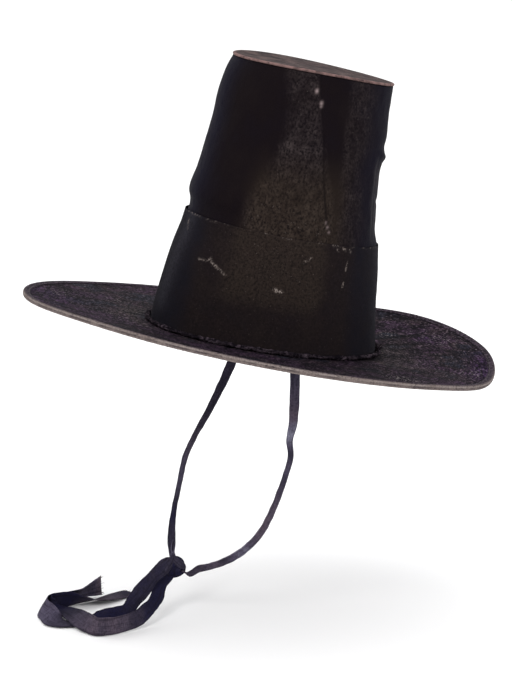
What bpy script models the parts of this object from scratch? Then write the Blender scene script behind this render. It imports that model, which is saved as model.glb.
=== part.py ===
# Welsh hat: a tall silk plush crown on a round bound brim, with a deep cloth band
# and two tapes tied under the chin. It is shown as it is worn, tipped a little back.
# Metres, +Z up. The origin is the middle of the head opening at the brim's underside,
# -Y is the wearer's front and +X is the wearer's left.

import math
from collections import namedtuple

import bmesh
import bpy
import numpy as np
from mathutils import Vector

MM = 0.001
GAP = 0.3 * MM                      # clearance between pieces that touch

# Hat
TILT_BACK = math.radians(9.1)       # the hat tips back about X
SIDES = 48                          # segments round the crown
CROWN_LEVELS = 20
CROWN_WALL = 2.5 * MM
CROWN_TOP = 212.6 * MM              # mean height of the wall's top edge, front and back
TOP_FALL = 2.8 * MM                 # the top slopes down to the back by this each side
TOP_SIDE_RISE = 2.0 * MM            # the top edge is higher at the sides by this
TIP_THICKNESS = 2.0 * MM
TIP_INNER_RINGS = (0.66, 0.33)      # rings inside the rim, as shares of its reach
BRIM_SIDES = 64
BRIM_LEVELS = 6
BRIM_RADIUS = 185.9 * MM
BRIM_FORWARD = 3.3 * MM             # the brim's middle lies in front of the crown's
BRIM_THICKNESS = 2.0 * MM
BRIM_EARLY_RISE = 0.35              # share of the edge's rise that is spread evenly
BINDING_WIDTH = 4.5 * MM
BINDING_THICKNESS = 1.0 * MM
BAND_LEVELS = 8
BAND_TOP = 89.5 * MM
BAND_FALL = 3.2 * MM                # the band is higher in front than behind
BAND_THICKNESS = 1.0 * MM
WELT_RADIUS = 1.6 * MM
WELT_SIDES = 6

# Tapes
TAPE_THICKNESS = 1.0 * MM
FOLDED_TAPE_THICKNESS = 1.8 * MM    # the ties hang folded double lengthwise
TAPE_STATION = 6.0 * MM             # spacing of the cross-sections
TIE_SEAT = 1.4 * MM                 # from the crown's inner wall to the tie's middle
KNOT_CENTRE = Vector((2.1, -71.6, -180.8)) * MM
KNOT_HALF_SIZE = Vector((7.0, 8.5, 8.5)) * MM
KNOT_RIDGE = 0.08                   # height of the wrapped tape's ridges, as a share
KNOT_RIDGES = 3
KNOT_TWIST = 1.4                    # turn of the ridges from one end to the other, radians
KNOT_SEGMENTS = 18
KNOT_RINGS = 10
KNOT_LEAD = 3.0 * MM                # a tape runs squarely out of the knot for this far
KNOT_NECK = 0.75                    # share of a tape's width where it enters the knot

# Crown: half sizes of the wall's outside to the front, to the back and to each side
CrownRing = namedtuple("CrownRing", "height front back side")
CROWN_RINGS = [
    CrownRing(2, 88.6, 88.6, 86.0),
    CrownRing(15, 87.4, 86.4, 84.3),
    CrownRing(41, 84.2, 82.6, 81.0),
    CrownRing(66, 79.8, 80.2, 77.4),
    CrownRing(84, 75.4, 77.6, 74.2),
    CrownRing(97, 73.8, 76.0, 72.4),
    CrownRing(109, 74.8, 75.0, 71.0),
    CrownRing(128, 71.0, 73.8, 69.0),
    CrownRing(147, 68.2, 73.0, 67.2),
    CrownRing(166, 65.2, 72.2, 65.6),
    CrownRing(191, 63.2, 70.8, 64.0),
    CrownRing(205, 60.0, 70.8, 63.2),
    CrownRing(219, 54.2, 70.8, 62.4),
]

# Hollows pushed into the crown; turn is the angle from +X, wide is its reach in degrees
Dent = namedtuple("Dent", "height turn depth tall wide")
DENTS = [
    Dent(113, 84, 5.4, 28, 38),
    Dent(166, 70, 1.4, 12, 24),
    Dent(98, -104, 1.2, 8, 40),
]

# Height of the brim's edge above the opening, round the hat
EdgeRise = namedtuple("EdgeRise", "turn rise")
EDGE_RISES = [
    EdgeRise(0, 7.7),
    EdgeRise(30, 3.4),
    EdgeRise(60, -0.5),
    EdgeRise(90, 10.3),
    EdgeRise(120, 14.9),
    EdgeRise(150, 7.4),
    EdgeRise(180, 2.2),
    EdgeRise(210, 2.6),
    EdgeRise(240, 6.7),
    EdgeRise(270, 10.2),
    EdgeRise(300, 13.6),
    EdgeRise(330, 11.5),
]

# Tapes: the middle line in millimetres, the width, and the roll about the line in degrees.
# At 0 a tail stands on edge and a tie's width runs front to back; at 90 a tail lies flat.
TapeRow = namedtuple("TapeRow", "x y z width roll")
TIE_LEFT_ROWS = [
    TapeRow(82.2, 4.4, -15, 7.5, 0),
    TapeRow(82.4, 4.0, -33, 7.5, 0),
    TapeRow(82, 3, -52, 6.4, 15),
    TapeRow(80, 1, -65, 5.4, 40),
    TapeRow(79, 2, -78, 5, 55),
    TapeRow(75, -0.5, -92, 4.8, 55),
    TapeRow(70, -3.8, -107, 4.8, 50),
    TapeRow(63, -8.2, -124, 5, 45),
    TapeRow(55, -14, -141, 5.2, 30),
    TapeRow(46, -22, -155, 5.6, 20),
    TapeRow(35, -33, -167, 5.6, 35),
    TapeRow(23, -46, -176, 5.2, 50),
    TapeRow(15, -55, -180, 5.4, 55),
]
TIE_RIGHT_ROWS = [
    TapeRow(-82.5, 3.5, -14, 7.5, 0),
    TapeRow(-82, -4, -36, 7.5, 15),
    TapeRow(-76, -16, -57, 7.2, 40),
    TapeRow(-67, -29, -75, 7, 50),
    TapeRow(-57, -42, -91, 6, 52),
    TapeRow(-48, -51, -104, 5.4, 50),
    TapeRow(-40, -56, -114, 5.2, 50),
    TapeRow(-31, -61, -126, 5, 55),
    TapeRow(-22, -66.4, -139, 4.8, 50),
    TapeRow(-11, -71, -154, 5.8, 30),
    TapeRow(-3, -73, -165, 6.2, 20),
]
TAIL_FRONT_ROWS = [
    TapeRow(8, -85, -193.8, 10.5, 64),
    TapeRow(16, -89, -199.4, 11, 62),
    TapeRow(26, -95, -202.7, 10, 48),
    TapeRow(36, -102, -204.3, 11.5, 34),
    TapeRow(43, -109, -207.2, 12.5, 20),
    TapeRow(51, -120, -208.4, 13.2, 6),
    TapeRow(58, -135, -208.5, 14, 0),
    TapeRow(58, -145, -208.3, 14.4, 2),
    TapeRow(46, -150, -208.8, 15, 34),
    TapeRow(29, -154, -208.9, 16, 62),
    TapeRow(18, -155, -209.4, 16, 71),
    TapeRow(7, -158, -209.9, 16, 80),
    TapeRow(-2, -161, -210.7, 16, 84),
    TapeRow(-8, -165, -211.7, 16, 80),
    TapeRow(-11, -169, -210.9, 16, 62),
    TapeRow(-15, -171, -209.6, 16, 44),
    TapeRow(-18, -169, -208.5, 16, 28),
    TapeRow(-20, -163, -208.0, 16, 22),
    TapeRow(-23, -153, -208.5, 16, 28),
    TapeRow(-26, -143, -210.7, 16, 54),
    TapeRow(-29, -136, -212.3, 16, 67),
    TapeRow(-32, -127, -213.3, 16, 76),
    TapeRow(-37, -118, -214.1, 16, 84),
    TapeRow(-44, -110, -214.7, 16, 90),
    TapeRow(-48, -103, -214.7, 16, 90),
    TapeRow(-52, -96, -214.7, 16, 90),
]
TAIL_BACK_ROWS = [
    TapeRow(11, -81, -174.6, 8.5, 24),
    TapeRow(11, -87, -181.2, 11, 10),
    TapeRow(15, -94, -186.3, 12.5, 6),
    TapeRow(18, -99, -190.8, 14, 6),
    TapeRow(21, -105, -195.6, 14, 10),
    TapeRow(24, -110, -200.1, 12, 18),
    TapeRow(26, -116, -206.5, 10.5, 26),
    TapeRow(26, -124, -208.5, 12, 34),
    TapeRow(27, -133, -209.9, 14, 46),
    TapeRow(24, -141, -211.9, 16, 62),
    TapeRow(20, -148, -214.0, 16, 80),
    TapeRow(21, -155, -214.7, 16, 88),
    TapeRow(22, -161, -214.8, 16, 89),
    TapeRow(21, -167, -214.2, 16, 84),
    TapeRow(18, -172, -211.7, 16, 64),
    TapeRow(8, -175, -209.3, 16, 42),
    TapeRow(-2, -177, -208.5, 16, 30),
    TapeRow(-13, -175, -208.5, 16, 30),
    TapeRow(-23, -170, -208.7, 16, 34),
    TapeRow(-32, -161, -209.7, 16, 44),
    TapeRow(-38, -151, -210.1, 16, 48),
    TapeRow(-42, -141, -209.9, 16, 46),
    TapeRow(-47, -131, -208.5, 16, 30),
    TapeRow(-52, -120, -207.3, 16, 3),
]

# Where each tape leaves the knot, as a direction from its middle
TIE_LEFT_EXIT = Vector((0.55, 0.82, -0.45))
TIE_RIGHT_EXIT = Vector((-0.40, -0.12, 0.91))
TAIL_FRONT_EXIT = Vector((0.30, -0.62, -0.72))
TAIL_BACK_EXIT = Vector((0.55, -0.55, 0.62))

# Heights inside the crown at which each tie is sewn to the wall, top first
TIE_SEAT_HEIGHTS = (24 * MM, 15 * MM, 6 * MM)
TIE_LEFT_TURN = math.radians(3)
TIE_RIGHT_TURN = math.radians(177)


def smooth_columns(keys, values, at):
    """Every column's value at a key, on one smooth curve through the table's rows."""
    keys = np.asarray(keys, float)
    values = np.asarray(values, float)
    slopes = np.gradient(values, keys, axis=0)
    row = int(np.clip(np.searchsorted(keys, at, side="right") - 1, 0, len(keys) - 2))
    span = keys[row + 1] - keys[row]
    t = min(max((at - keys[row]) / span, 0.0), 1.0)
    start = values[row] * (2 * t**3 - 3 * t**2 + 1) + slopes[row] * span * (t**3 - 2 * t**2 + t)
    finish = values[row + 1] * (3 * t**2 - 2 * t**3) + slopes[row + 1] * span * (t**3 - t**2)
    return start + finish


def turns_round(count):
    return [2 * math.pi * i / count for i in range(count)]


def steps(first, last, count):
    return [first + (last - first) * i / (count - 1) for i in range(count)]


def turn_difference(a, b):
    return (a - b + math.pi) % (2 * math.pi) - math.pi


def around(radius, turn, height):
    """A point in the hat's own upright frame."""
    return Vector((radius * math.cos(turn), radius * math.sin(turn), height))


# Crown shape

def crown_radius(height, turn, dented=True):
    """Outside of the crown's wall, from its axis."""
    heights = [ring.height for ring in CROWN_RINGS]
    sizes = [(ring.front, ring.back, ring.side) for ring in CROWN_RINGS]
    front, back, side = smooth_columns(heights, sizes, height / MM)
    lengthwise = back if math.sin(turn) > 0 else front
    radius = 1 / math.hypot(math.cos(turn) / side, math.sin(turn) / lengthwise)
    if dented:
        for dent in DENTS:
            up = (height / MM - dent.height) / dent.tall
            aside = math.degrees(turn_difference(turn, math.radians(dent.turn))) / dent.wide
            radius -= dent.depth * math.exp(-up**4 - aside**2)
    return radius * MM


def crown_top(turn):
    return CROWN_TOP - TOP_FALL * math.sin(turn) + TOP_SIDE_RISE * math.cos(turn)**2


# Brim shape

def edge_rise(turn):
    """Height of the brim's edge above its inner edge."""
    turns = [row.turn for row in EDGE_RISES]
    rises = [row.rise for row in EDGE_RISES]
    turns = [turns[-1] - 360] + turns + [turns[0] + 360, turns[1] + 360]
    rises = [rises[-1]] + rises + [rises[0], rises[1]]
    return smooth_columns(turns, rises, math.degrees(turn) % 360) * MM


def opening_radius(turn):
    return crown_radius(BRIM_THICKNESS, turn) - CROWN_WALL


def brim_point(reach, turn, side):
    """A point on the brim's middle surface, moved up by `side`; reach runs from 0 at the
    opening to 1 at the edge, and a little past 1 for the binding."""
    inner = around(opening_radius(turn), turn, 0)
    outer = around(BRIM_RADIUS, turn, 0) - Vector((0, BRIM_FORWARD, 0))
    point = inner.lerp(outer, reach)
    share = BRIM_EARLY_RISE * reach + (1 - BRIM_EARLY_RISE) * reach * abs(reach)
    point.z = BRIM_THICKNESS / 2 + (edge_rise(turn) - BRIM_THICKNESS / 2) * share + side
    return point


def brim_top(radius, turn):
    """Height of the brim's upper face at a distance from the crown's axis."""
    inner = opening_radius(turn)
    reach = (radius - inner) / (BRIM_RADIUS - BRIM_FORWARD * math.sin(turn) - inner)
    return brim_point(reach, turn, BRIM_THICKNESS / 2).z


# Building

def material(name, colour, roughness):
    made = bpy.data.materials.new(name)
    made.use_nodes = True
    shader = made.node_tree.nodes["Principled BSDF"]
    shader.inputs["Base Color"].default_value = (*colour, 1)
    shader.inputs["Roughness"].default_value = roughness
    shader.inputs["Metallic"].default_value = 0
    return made


def loft(name, loops, finish, parent=None, closed_path=False, caps=False):
    """A skin over loops of points that all have the same count."""
    mesh = bpy.data.meshes.new(name)
    shape = bmesh.new()
    rings = [[shape.verts.new(point) for point in loop] for loop in loops]
    count = len(rings[0])
    pairs = list(zip(rings, rings[1:]))
    if closed_path:
        pairs.append((rings[-1], rings[0]))
    for low, high in pairs:
        for i in range(count):
            j = (i + 1) % count
            shape.faces.new((low[i], low[j], high[j], high[i]))
    if caps:
        shape.faces.new(list(reversed(rings[0])))
        shape.faces.new(rings[-1])
    if caps or closed_path:
        bmesh.ops.recalc_face_normals(shape, faces=shape.faces)
    shape.to_mesh(mesh)
    shape.free()
    mesh.shade_smooth()
    mesh.set_sharp_from_angle(angle=math.radians(40))
    mesh.materials.append(finish)
    made = bpy.data.objects.new(name, mesh)
    hat_collection.objects.link(made)
    made.parent = parent
    return made


def round_wall(foot, top, outside, thickness, levels):
    """Loops up the outside of a wall that goes round the hat, and down its inside."""
    up = []
    down = []
    for share in steps(0, 1, levels):
        heights = [foot(turn) + (top(turn) - foot(turn)) * share for turn in turns_round(SIDES)]
        spots = list(zip(turns_round(SIDES), heights))
        up.append([around(outside(height, turn), turn, height) for turn, height in spots])
        down.append([around(outside(height, turn) - thickness, turn, height)
                     for turn, height in spots])
    return up + down[::-1]


# Hat pieces, in the hat's own upright frame

def build_crown(tilt):
    def foot(turn):
        return brim_top(crown_radius(BRIM_THICKNESS, turn), turn) + GAP

    loops = round_wall(foot, crown_top, crown_radius, CROWN_WALL, CROWN_LEVELS)
    finish = material("black_plush", (0.016, 0.013, 0.014), 0.55)
    loft("crown", loops, finish, tilt, closed_path=True)


def shrunk_loops(rim):
    middle = sum(rim, Vector()) / len(rim)
    return [[middle.lerp(point, share) for point in rim] for share in TIP_INNER_RINGS]


def build_crown_tip(tilt):
    """The round top, seated on the wall's upper edge."""
    # out is the reach past the wall's outside, rise is the share of the tip's thickness
    profile = [(-1.6, 0.0), (-0.2, 0.0), (0.5, 0.3), (0.4, 0.75), (-0.6, 1.0)]
    loops = []
    for out, rise in profile:
        loop = []
        for turn in turns_round(SIDES):
            height = crown_top(turn)
            radius = crown_radius(height, turn) + out * MM
            loop.append(around(radius, turn, height + GAP + rise * TIP_THICKNESS))
        loops.append(loop)
    below = shrunk_loops(loops[0])
    above = shrunk_loops(loops[-1])
    loops = below[::-1] + loops + above
    loft("crown_tip", loops, material("worn_plush", (0.10, 0.077, 0.07), 0.8), tilt, caps=True)


def build_brim(tilt):
    loops = []
    for turn in turns_round(BRIM_SIDES):
        upper = [brim_point(reach, turn, BRIM_THICKNESS / 2) for reach in steps(0, 1, BRIM_LEVELS)]
        lower = [point - Vector((0, 0, BRIM_THICKNESS)) for point in upper]
        loops.append(upper + lower[::-1])
    finish = material("brim_plush", (0.042, 0.03, 0.036), 0.75)
    loft("brim", loops, finish, tilt, closed_path=True)


def build_edge_binding(tilt):
    """A tape folded over the brim's edge."""
    inside = BRIM_THICKNESS / 2 + GAP
    outside = inside + BINDING_THICKNESS
    edge_in = GAP
    edge_out = GAP + BINDING_THICKNESS
    profile = [
        (-BINDING_WIDTH, outside),
        (edge_in, outside),
        (edge_out, inside),
        (edge_out, -inside),
        (edge_in, -outside),
        (-BINDING_WIDTH, -outside),
        (-BINDING_WIDTH, -inside),
        (edge_in, -inside),
        (edge_in, inside),
        (-BINDING_WIDTH, inside),
    ]
    loops = []
    for turn in turns_round(BRIM_SIDES):
        width = BRIM_RADIUS - BRIM_FORWARD * math.sin(turn) - opening_radius(turn)
        loops.append([brim_point(1 + out / width, turn, side) for out, side in profile])
    finish = material("worn_binding", (0.25, 0.2, 0.18), 0.85)
    loft("edge_binding", loops, finish, tilt, closed_path=True)


def build_hat_band(tilt):
    def foot(turn):
        return brim_top(crown_radius(BRIM_THICKNESS, turn), turn) + 2 * GAP

    def top(turn):
        return BAND_TOP - BAND_FALL * math.sin(turn)

    def outside(height, turn):
        return crown_radius(height, turn, dented=False) + GAP + BAND_THICKNESS

    loops = round_wall(foot, top, outside, BAND_THICKNESS, BAND_LEVELS)
    loft("hat_band", loops, material("band_cloth", (0.018, 0.012, 0.010), 0.8), tilt,
         closed_path=True)


def build_base_welt(tilt):
    """The rolled strip in the corner between the band and the brim."""
    loops = []
    for turn in turns_round(SIDES):
        wall = crown_radius(BRIM_THICKNESS, turn) + GAP + BAND_THICKNESS
        radius = wall + GAP + WELT_RADIUS
        height = brim_top(radius + WELT_RADIUS, turn) + GAP + WELT_RADIUS
        loop = []
        for angle in turns_round(WELT_SIDES):
            out = WELT_RADIUS * math.cos(angle)
            loop.append(around(radius + out, turn, height + WELT_RADIUS * math.sin(angle)))
        loops.append(loop)
    finish = material("welt_cloth", (0.02, 0.016, 0.016), 0.85)
    loft("base_welt", loops, finish, tilt, closed_path=True)


# Tapes, in the world frame

def knot_surface(direction, clear=0.0):
    """The point where a ray from the knot's middle leaves it, moved out by `clear`."""
    direction = direction.normalized()
    scaled = Vector(part / size for part, size in zip(direction, KNOT_HALF_SIZE))
    return KNOT_CENTRE + direction * (1 / scaled.length + clear)


def knot_start(direction, row):
    """The first two rows of a tape that leaves the knot squarely."""
    starts = []
    width = row.width * KNOT_NECK
    for clear in (KNOT_RIDGE * max(KNOT_HALF_SIZE) + GAP, KNOT_LEAD):
        point = knot_surface(direction, clear) / MM
        starts.append(row._replace(x=point.x, y=point.y, z=point.z, width=width))
    return starts


def sewn_rows(tilt, turn, row):
    """The stretch of a tie that lies against the crown's inner wall."""
    rows = []
    for height in TIE_SEAT_HEIGHTS:
        radius = crown_radius(height, turn) - CROWN_WALL - TIE_SEAT
        point = tilt.matrix_basis @ around(radius, turn, height) / MM
        rows.append(row._replace(x=point.x, y=point.y, z=point.z))
    return rows


def tape_stations(rows, reference):
    """Middle, across and face directions, and width, at even steps along a tape."""
    middles = [Vector((row.x, row.y, row.z)) * MM for row in rows]
    lengths = [0.0]
    for a, b in zip(middles, middles[1:]):
        lengths.append(lengths[-1] + (b - a).length)
    columns = [(*m, row.width * MM, math.radians(row.roll)) for m, row in zip(middles, rows)]
    count = max(2, round(lengths[-1] / TAPE_STATION) + 1)
    probe = 0.2 * MM
    stations = []
    for at in steps(0, lengths[-1], count):
        x, y, z, width, roll = smooth_columns(lengths, columns, at)
        ahead = smooth_columns(lengths, columns, min(at + probe, lengths[-1]))
        behind = smooth_columns(lengths, columns, max(at - probe, 0))
        along = Vector(ahead[:3] - behind[:3]).normalized()
        upright = (reference - along * reference.dot(along)).normalized()
        aside = along.cross(upright)
        across = upright * math.cos(roll) + aside * math.sin(roll)
        stations.append((Vector((x, y, z)), across, along.cross(across), width))
    return stations


def build_tape(name, rows, reference, thickness, finish):
    loops = []
    for middle, across, face, width in tape_stations(rows, reference):
        half_width = across * width / 2
        half_thickness = face * thickness / 2
        loops.append([
            middle - half_width - half_thickness,
            middle + half_width - half_thickness,
            middle + half_width + half_thickness,
            middle - half_width + half_thickness,
        ])
    loft(name, loops, finish, caps=True)


def build_knot(finish):
    """A hard-pulled knot: a rounded lump with the ridges of the wrapped tape."""
    mesh = bpy.data.meshes.new("tie_knot")
    shape = bmesh.new()
    bmesh.ops.create_uvsphere(shape, u_segments=KNOT_SEGMENTS, v_segments=KNOT_RINGS, radius=1)
    for vert in shape.verts:
        direction = vert.co.normalized()
        twist = math.atan2(direction.z, direction.y) + KNOT_TWIST * direction.x
        ridge = 1 + KNOT_RIDGE * math.cos(KNOT_RIDGES * twist) * (1 - direction.z**4)
        vert.co = KNOT_CENTRE + Vector(
            part * size * ridge for part, size in zip(direction, KNOT_HALF_SIZE))
    shape.to_mesh(mesh)
    shape.free()
    mesh.shade_smooth()
    mesh.materials.append(finish)
    hat_collection.objects.link(bpy.data.objects.new("tie_knot", mesh))


def build_ties(tilt):
    finish = material("tie_tape", (0.055, 0.05, 0.075), 0.85)
    front_to_back = Vector((0, 1, 0))
    up = Vector((0, 0, 1))
    hung = [
        ("tie_left", TIE_LEFT_ROWS, TIE_LEFT_TURN, TIE_LEFT_EXIT),
        ("tie_right", TIE_RIGHT_ROWS, TIE_RIGHT_TURN, TIE_RIGHT_EXIT),
    ]
    for name, table, turn, exit_way in hung:
        rows = sewn_rows(tilt, turn, table[0]) + table
        rows += reversed(knot_start(exit_way, table[-1]))
        build_tape(name, rows, front_to_back, FOLDED_TAPE_THICKNESS, finish)
    build_knot(finish)
    tails = [
        ("tail_front", TAIL_FRONT_ROWS, TAIL_FRONT_EXIT),
        ("tail_back", TAIL_BACK_ROWS, TAIL_BACK_EXIT),
    ]
    for name, table, exit_way in tails:
        rows = knot_start(exit_way, table[0]) + table
        build_tape(name, rows, up, TAPE_THICKNESS, finish)


def build_hat():
    tilt = bpy.data.objects.new("hat_tilt", None)
    tilt.rotation_euler.x = -TILT_BACK
    tilt.empty_display_size = 0.05
    hat_collection.objects.link(tilt)
    bpy.context.view_layer.update()
    build_crown(tilt)
    build_crown_tip(tilt)
    build_brim(tilt)
    build_edge_binding(tilt)
    build_hat_band(tilt)
    build_base_welt(tilt)
    build_ties(tilt)


for old in list(bpy.data.objects):
    bpy.data.objects.remove(old, do_unlink=True)
hat_collection = bpy.data.collections.new("welsh_hat")
bpy.context.scene.collection.children.link(hat_collection)
build_hat()
bpy.context.view_layer.update()
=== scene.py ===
import math

import bmesh
import bpy
import numpy as np
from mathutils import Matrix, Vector, noise


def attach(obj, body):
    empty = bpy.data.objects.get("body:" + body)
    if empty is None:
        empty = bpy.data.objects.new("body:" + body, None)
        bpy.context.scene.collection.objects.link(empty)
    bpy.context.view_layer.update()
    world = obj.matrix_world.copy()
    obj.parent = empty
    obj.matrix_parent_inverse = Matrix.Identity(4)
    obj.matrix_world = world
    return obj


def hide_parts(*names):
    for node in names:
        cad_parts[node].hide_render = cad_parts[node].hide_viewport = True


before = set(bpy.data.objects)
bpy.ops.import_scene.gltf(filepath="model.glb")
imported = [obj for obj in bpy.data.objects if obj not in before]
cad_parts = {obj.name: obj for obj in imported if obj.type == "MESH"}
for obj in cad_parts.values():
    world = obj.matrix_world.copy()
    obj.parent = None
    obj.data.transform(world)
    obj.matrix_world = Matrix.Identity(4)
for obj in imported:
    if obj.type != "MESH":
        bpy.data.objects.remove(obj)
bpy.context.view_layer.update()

mm = 0.001
print("welsh hat: frame loaded")

# Shared shape of the hat, upright, in millimetres; turn is the angle from +X

hatShape = {
    "tiltBack": 9.1,        # degrees about X
    "gap": 0.3,
    "wall": 2.5,
    "crownTop": 212.6,
    "topFall": 2.8,         # top edge lower behind than in front
    "topSideRise": 2.0,
    "brimRadius": 185.9,
    "brimForward": 3.3,
    "brimThick": 2.0,
    "earlyRise": 0.35,
    "bandTop": 89.5,
    "bandFall": 3.2,
    "bandThick": 1.0,
    "crowding": 0.4,        # how much closer the columns stand where the small marks are
    "crowdedTurn": -12,
}

# height, then the crown's reach to front, back and side
crownRings = [
    (2, 88.6, 88.6, 86.0),
    (15, 87.4, 86.4, 84.3),
    (41, 84.2, 82.6, 81.0),
    (66, 79.8, 80.2, 77.4),
    (84, 75.4, 77.6, 74.2),
    (97, 73.8, 76.0, 72.4),
    (109, 74.8, 75.0, 71.0),
    (128, 71.0, 73.8, 69.0),
    (147, 68.2, 73.0, 67.2),
    (166, 65.2, 72.2, 65.6),
    (191, 63.2, 70.8, 64.0),
    (205, 60.0, 70.8, 63.2),
    (219, 54.2, 70.8, 62.4),
]

# turn in degrees, rise of the brim's edge
edgeRises = [
    (-30, 11.5), (0, 7.7), (30, 3.4), (60, -0.5), (90, 10.3), (120, 14.9), (150, 7.4), (180, 2.2),
    (210, 2.6), (240, 6.7), (270, 10.2), (300, 13.6), (330, 11.5), (360, 7.7), (390, 3.4),
]


def smoothTable(table, at):
    table = np.asarray(table, float)
    keys = table[:, 0]
    values = table[:, 1:]
    slopes = np.gradient(values, keys, axis=0)
    at = np.asarray(at, float)
    flat = at.ravel()
    row = np.clip(np.searchsorted(keys, flat, side="right") - 1, 0, len(keys) - 2)
    span = keys[row + 1] - keys[row]
    t = np.clip((flat - keys[row]) / span, 0, 1)[:, None]
    span = span[:, None]
    made = values[row] * (2 * t**3 - 3 * t**2 + 1) + slopes[row] * span * (t**3 - 2 * t**2 + t)
    made += values[row + 1] * (3 * t**2 - 2 * t**3) + slopes[row + 1] * span * (t**3 - t**2)
    return made.reshape(at.shape + (values.shape[1],))


def softStep(low, high, x):
    t = np.clip((x - low) / (high - low), 0, 1)
    return t * t * (3 - 2 * t)


def plateau(x, riseFrom, riseTo, fallFrom, fallTo):
    return softStep(riseFrom, riseTo, x) * (1 - softStep(fallFrom, fallTo, x))


def bell(x, middle, spread):
    return np.exp(-((x - middle) / spread)**2)


def turnGap(a, b):
    return (a - b + math.pi) % (2 * math.pi) - math.pi


def crownRadius(height, turn):
    sizes = smoothTable(crownRings, height)
    lengthwise = np.where(np.sin(turn) > 0, sizes[..., 1], sizes[..., 0])
    return 1 / np.hypot(np.cos(turn) / sizes[..., 2], np.sin(turn) / lengthwise)


def crownTopEdge(turn):
    sideRise = hatShape["topSideRise"] * np.cos(turn)**2
    return hatShape["crownTop"] - hatShape["topFall"] * np.sin(turn) + sideRise


def edgeRise(turn):
    return smoothTable(edgeRises, np.degrees(turn) % 360)[..., 0]


def footRadius(turn):
    return crownRadius(np.full_like(turn, hatShape["brimThick"]), turn)


def openingRadius(turn):
    return footRadius(turn) - hatShape["wall"]


def brimWidth(turn):
    return hatShape["brimRadius"] - hatShape["brimForward"] * np.sin(turn) - openingRadius(turn)


def brimPoint(reach, turn, side):
    # reach is 0 at the opening and 1 at the edge, side the height above the middle of the plush
    inner = openingRadius(turn)
    outer = hatShape["brimRadius"]
    x = inner * np.cos(turn) * (1 - reach) + outer * np.cos(turn) * reach
    y = inner * np.sin(turn) * (1 - reach) + (outer * np.sin(turn) - hatShape["brimForward"]) * reach
    share = hatShape["earlyRise"] * reach + (1 - hatShape["earlyRise"]) * reach * np.abs(reach)
    half = hatShape["brimThick"] / 2
    z = half + (edgeRise(turn) - half) * share + side
    return np.stack([x, y, z], axis=-1)


def brimTop(radius, turn):
    reach = (radius - openingRadius(turn)) / brimWidth(turn)
    return brimPoint(reach, turn, hatShape["brimThick"] / 2)[..., 2]


def evenTurns(count):
    return np.linspace(0, 2 * math.pi, count, endpoint=False)


def crowdedTurns(count):
    even = evenTurns(count)
    return even - hatShape["crowding"] * np.sin(even - math.radians(hatShape["crowdedTurn"]))


def around(radius, turn, height):
    return np.stack([radius * np.cos(turn), radius * np.sin(turn), height + 0 * radius], axis=-1)


def tipped(points):
    lean = math.radians(hatShape["tiltBack"])
    made = np.array(points, float)
    y = made[..., 1].copy()
    z = made[..., 2].copy()
    made[..., 1] = y * math.cos(lean) + z * math.sin(lean)
    made[..., 2] = z * math.cos(lean) - y * math.sin(lean)
    return made


def unevenness(points, size, seed):
    shift = Vector((seed * 7.3, seed * 3.1, seed * 5.7))
    flat = points.reshape(-1, 3) / size
    made = [noise.noise(Vector(p) + shift) for p in flat]
    return np.array(made).reshape(points.shape[:-1])


# Meshes

def gridFaces(rows, columns, closeRows=False, closeColumns=True, start=0):
    faces = []
    for r in range(rows if closeRows else rows - 1):
        nextRow = (r + 1) % rows
        for c in range(columns if closeColumns else columns - 1):
            nextColumn = (c + 1) % columns
            faces.append((
                start + r * columns + c,
                start + r * columns + nextColumn,
                start + nextRow * columns + nextColumn,
                start + nextRow * columns + c,
            ))
    return faces


def fanFaces(first, count, centre, flip=False):
    faces = []
    for i in range(count):
        j = (i + 1) % count
        pair = (first + j, first + i) if flip else (first + i, first + j)
        faces.append((*pair, centre))
    return faces


def looseThreads(roots, ways, thick, start):
    # each thread bends from its root along its way, and thins towards its tip
    points = []
    faces = []
    for root, way in zip(roots, ways):
        path = root + np.outer((0, 0.35, 0.7, 1.0), way)
        path[:, 2] += np.array((0, 0.10, 0.12, 0.0)) * np.linalg.norm(way)
        along = np.gradient(path, axis=0)
        along /= np.linalg.norm(along, axis=1)[:, None]
        first = start + len(points)
        for step, (middle, ahead) in enumerate(zip(path, along)):
            side = np.cross(ahead, (0.31, 0.52, 0.79))
            side /= np.linalg.norm(side)
            up = np.cross(ahead, side)
            size = thick / 2 * (1 - 0.2 * step)
            points += [middle + side * size, middle + up * size, middle - side * size, middle - up * size]
        faces += [tuple(first + i for i in face) for face in gridFaces(len(path), 4)]
        last = first + 4 * (len(path) - 1)
        faces.append((first + 3, first + 2, first + 1, first))
        faces.append((last, last + 1, last + 2, last + 3))
    return np.array(points), faces


def addObject(name, data):
    made = bpy.data.objects.new(name, data)
    bpy.context.scene.collection.objects.link(made)
    return made


def makePiece(name, points, faces, materials, nodes, nap, marks=None, faceLook=None):
    mesh = bpy.data.meshes.new(name)
    mesh.from_pydata([tuple(p) for p in np.asarray(points).reshape(-1, 3) * mm], [], faces)
    mesh.update()
    layer = mesh.attributes.new("nap", "FLOAT_VECTOR", "POINT")
    layer.data.foreach_set("vector", (np.asarray(nap).reshape(-1, 3) * mm).astype(np.float32).ravel())
    if marks is not None:
        layer = mesh.attributes.new("marks", "FLOAT_COLOR", "POINT")
        layer.data.foreach_set("color", np.asarray(marks).reshape(-1, 4).astype(np.float32).ravel())
    for each in materials:
        mesh.materials.append(each)
    if faceLook is not None:
        mesh.polygons.foreach_set("material_index", faceLook)
    mesh.polygons.foreach_set("use_smooth", [True] * len(mesh.polygons))
    piece = addObject(name, mesh)
    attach(piece, "root")
    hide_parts(*nodes)
    return piece


# Material helpers

def startMaterial(name):
    made = bpy.data.materials.new(name)
    made.use_nodes = True
    tree = made.node_tree
    return made, tree, tree.nodes["Principled BSDF"]


def link(tree, outSocket, inSocket):
    tree.links.new(outSocket, inSocket)


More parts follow.
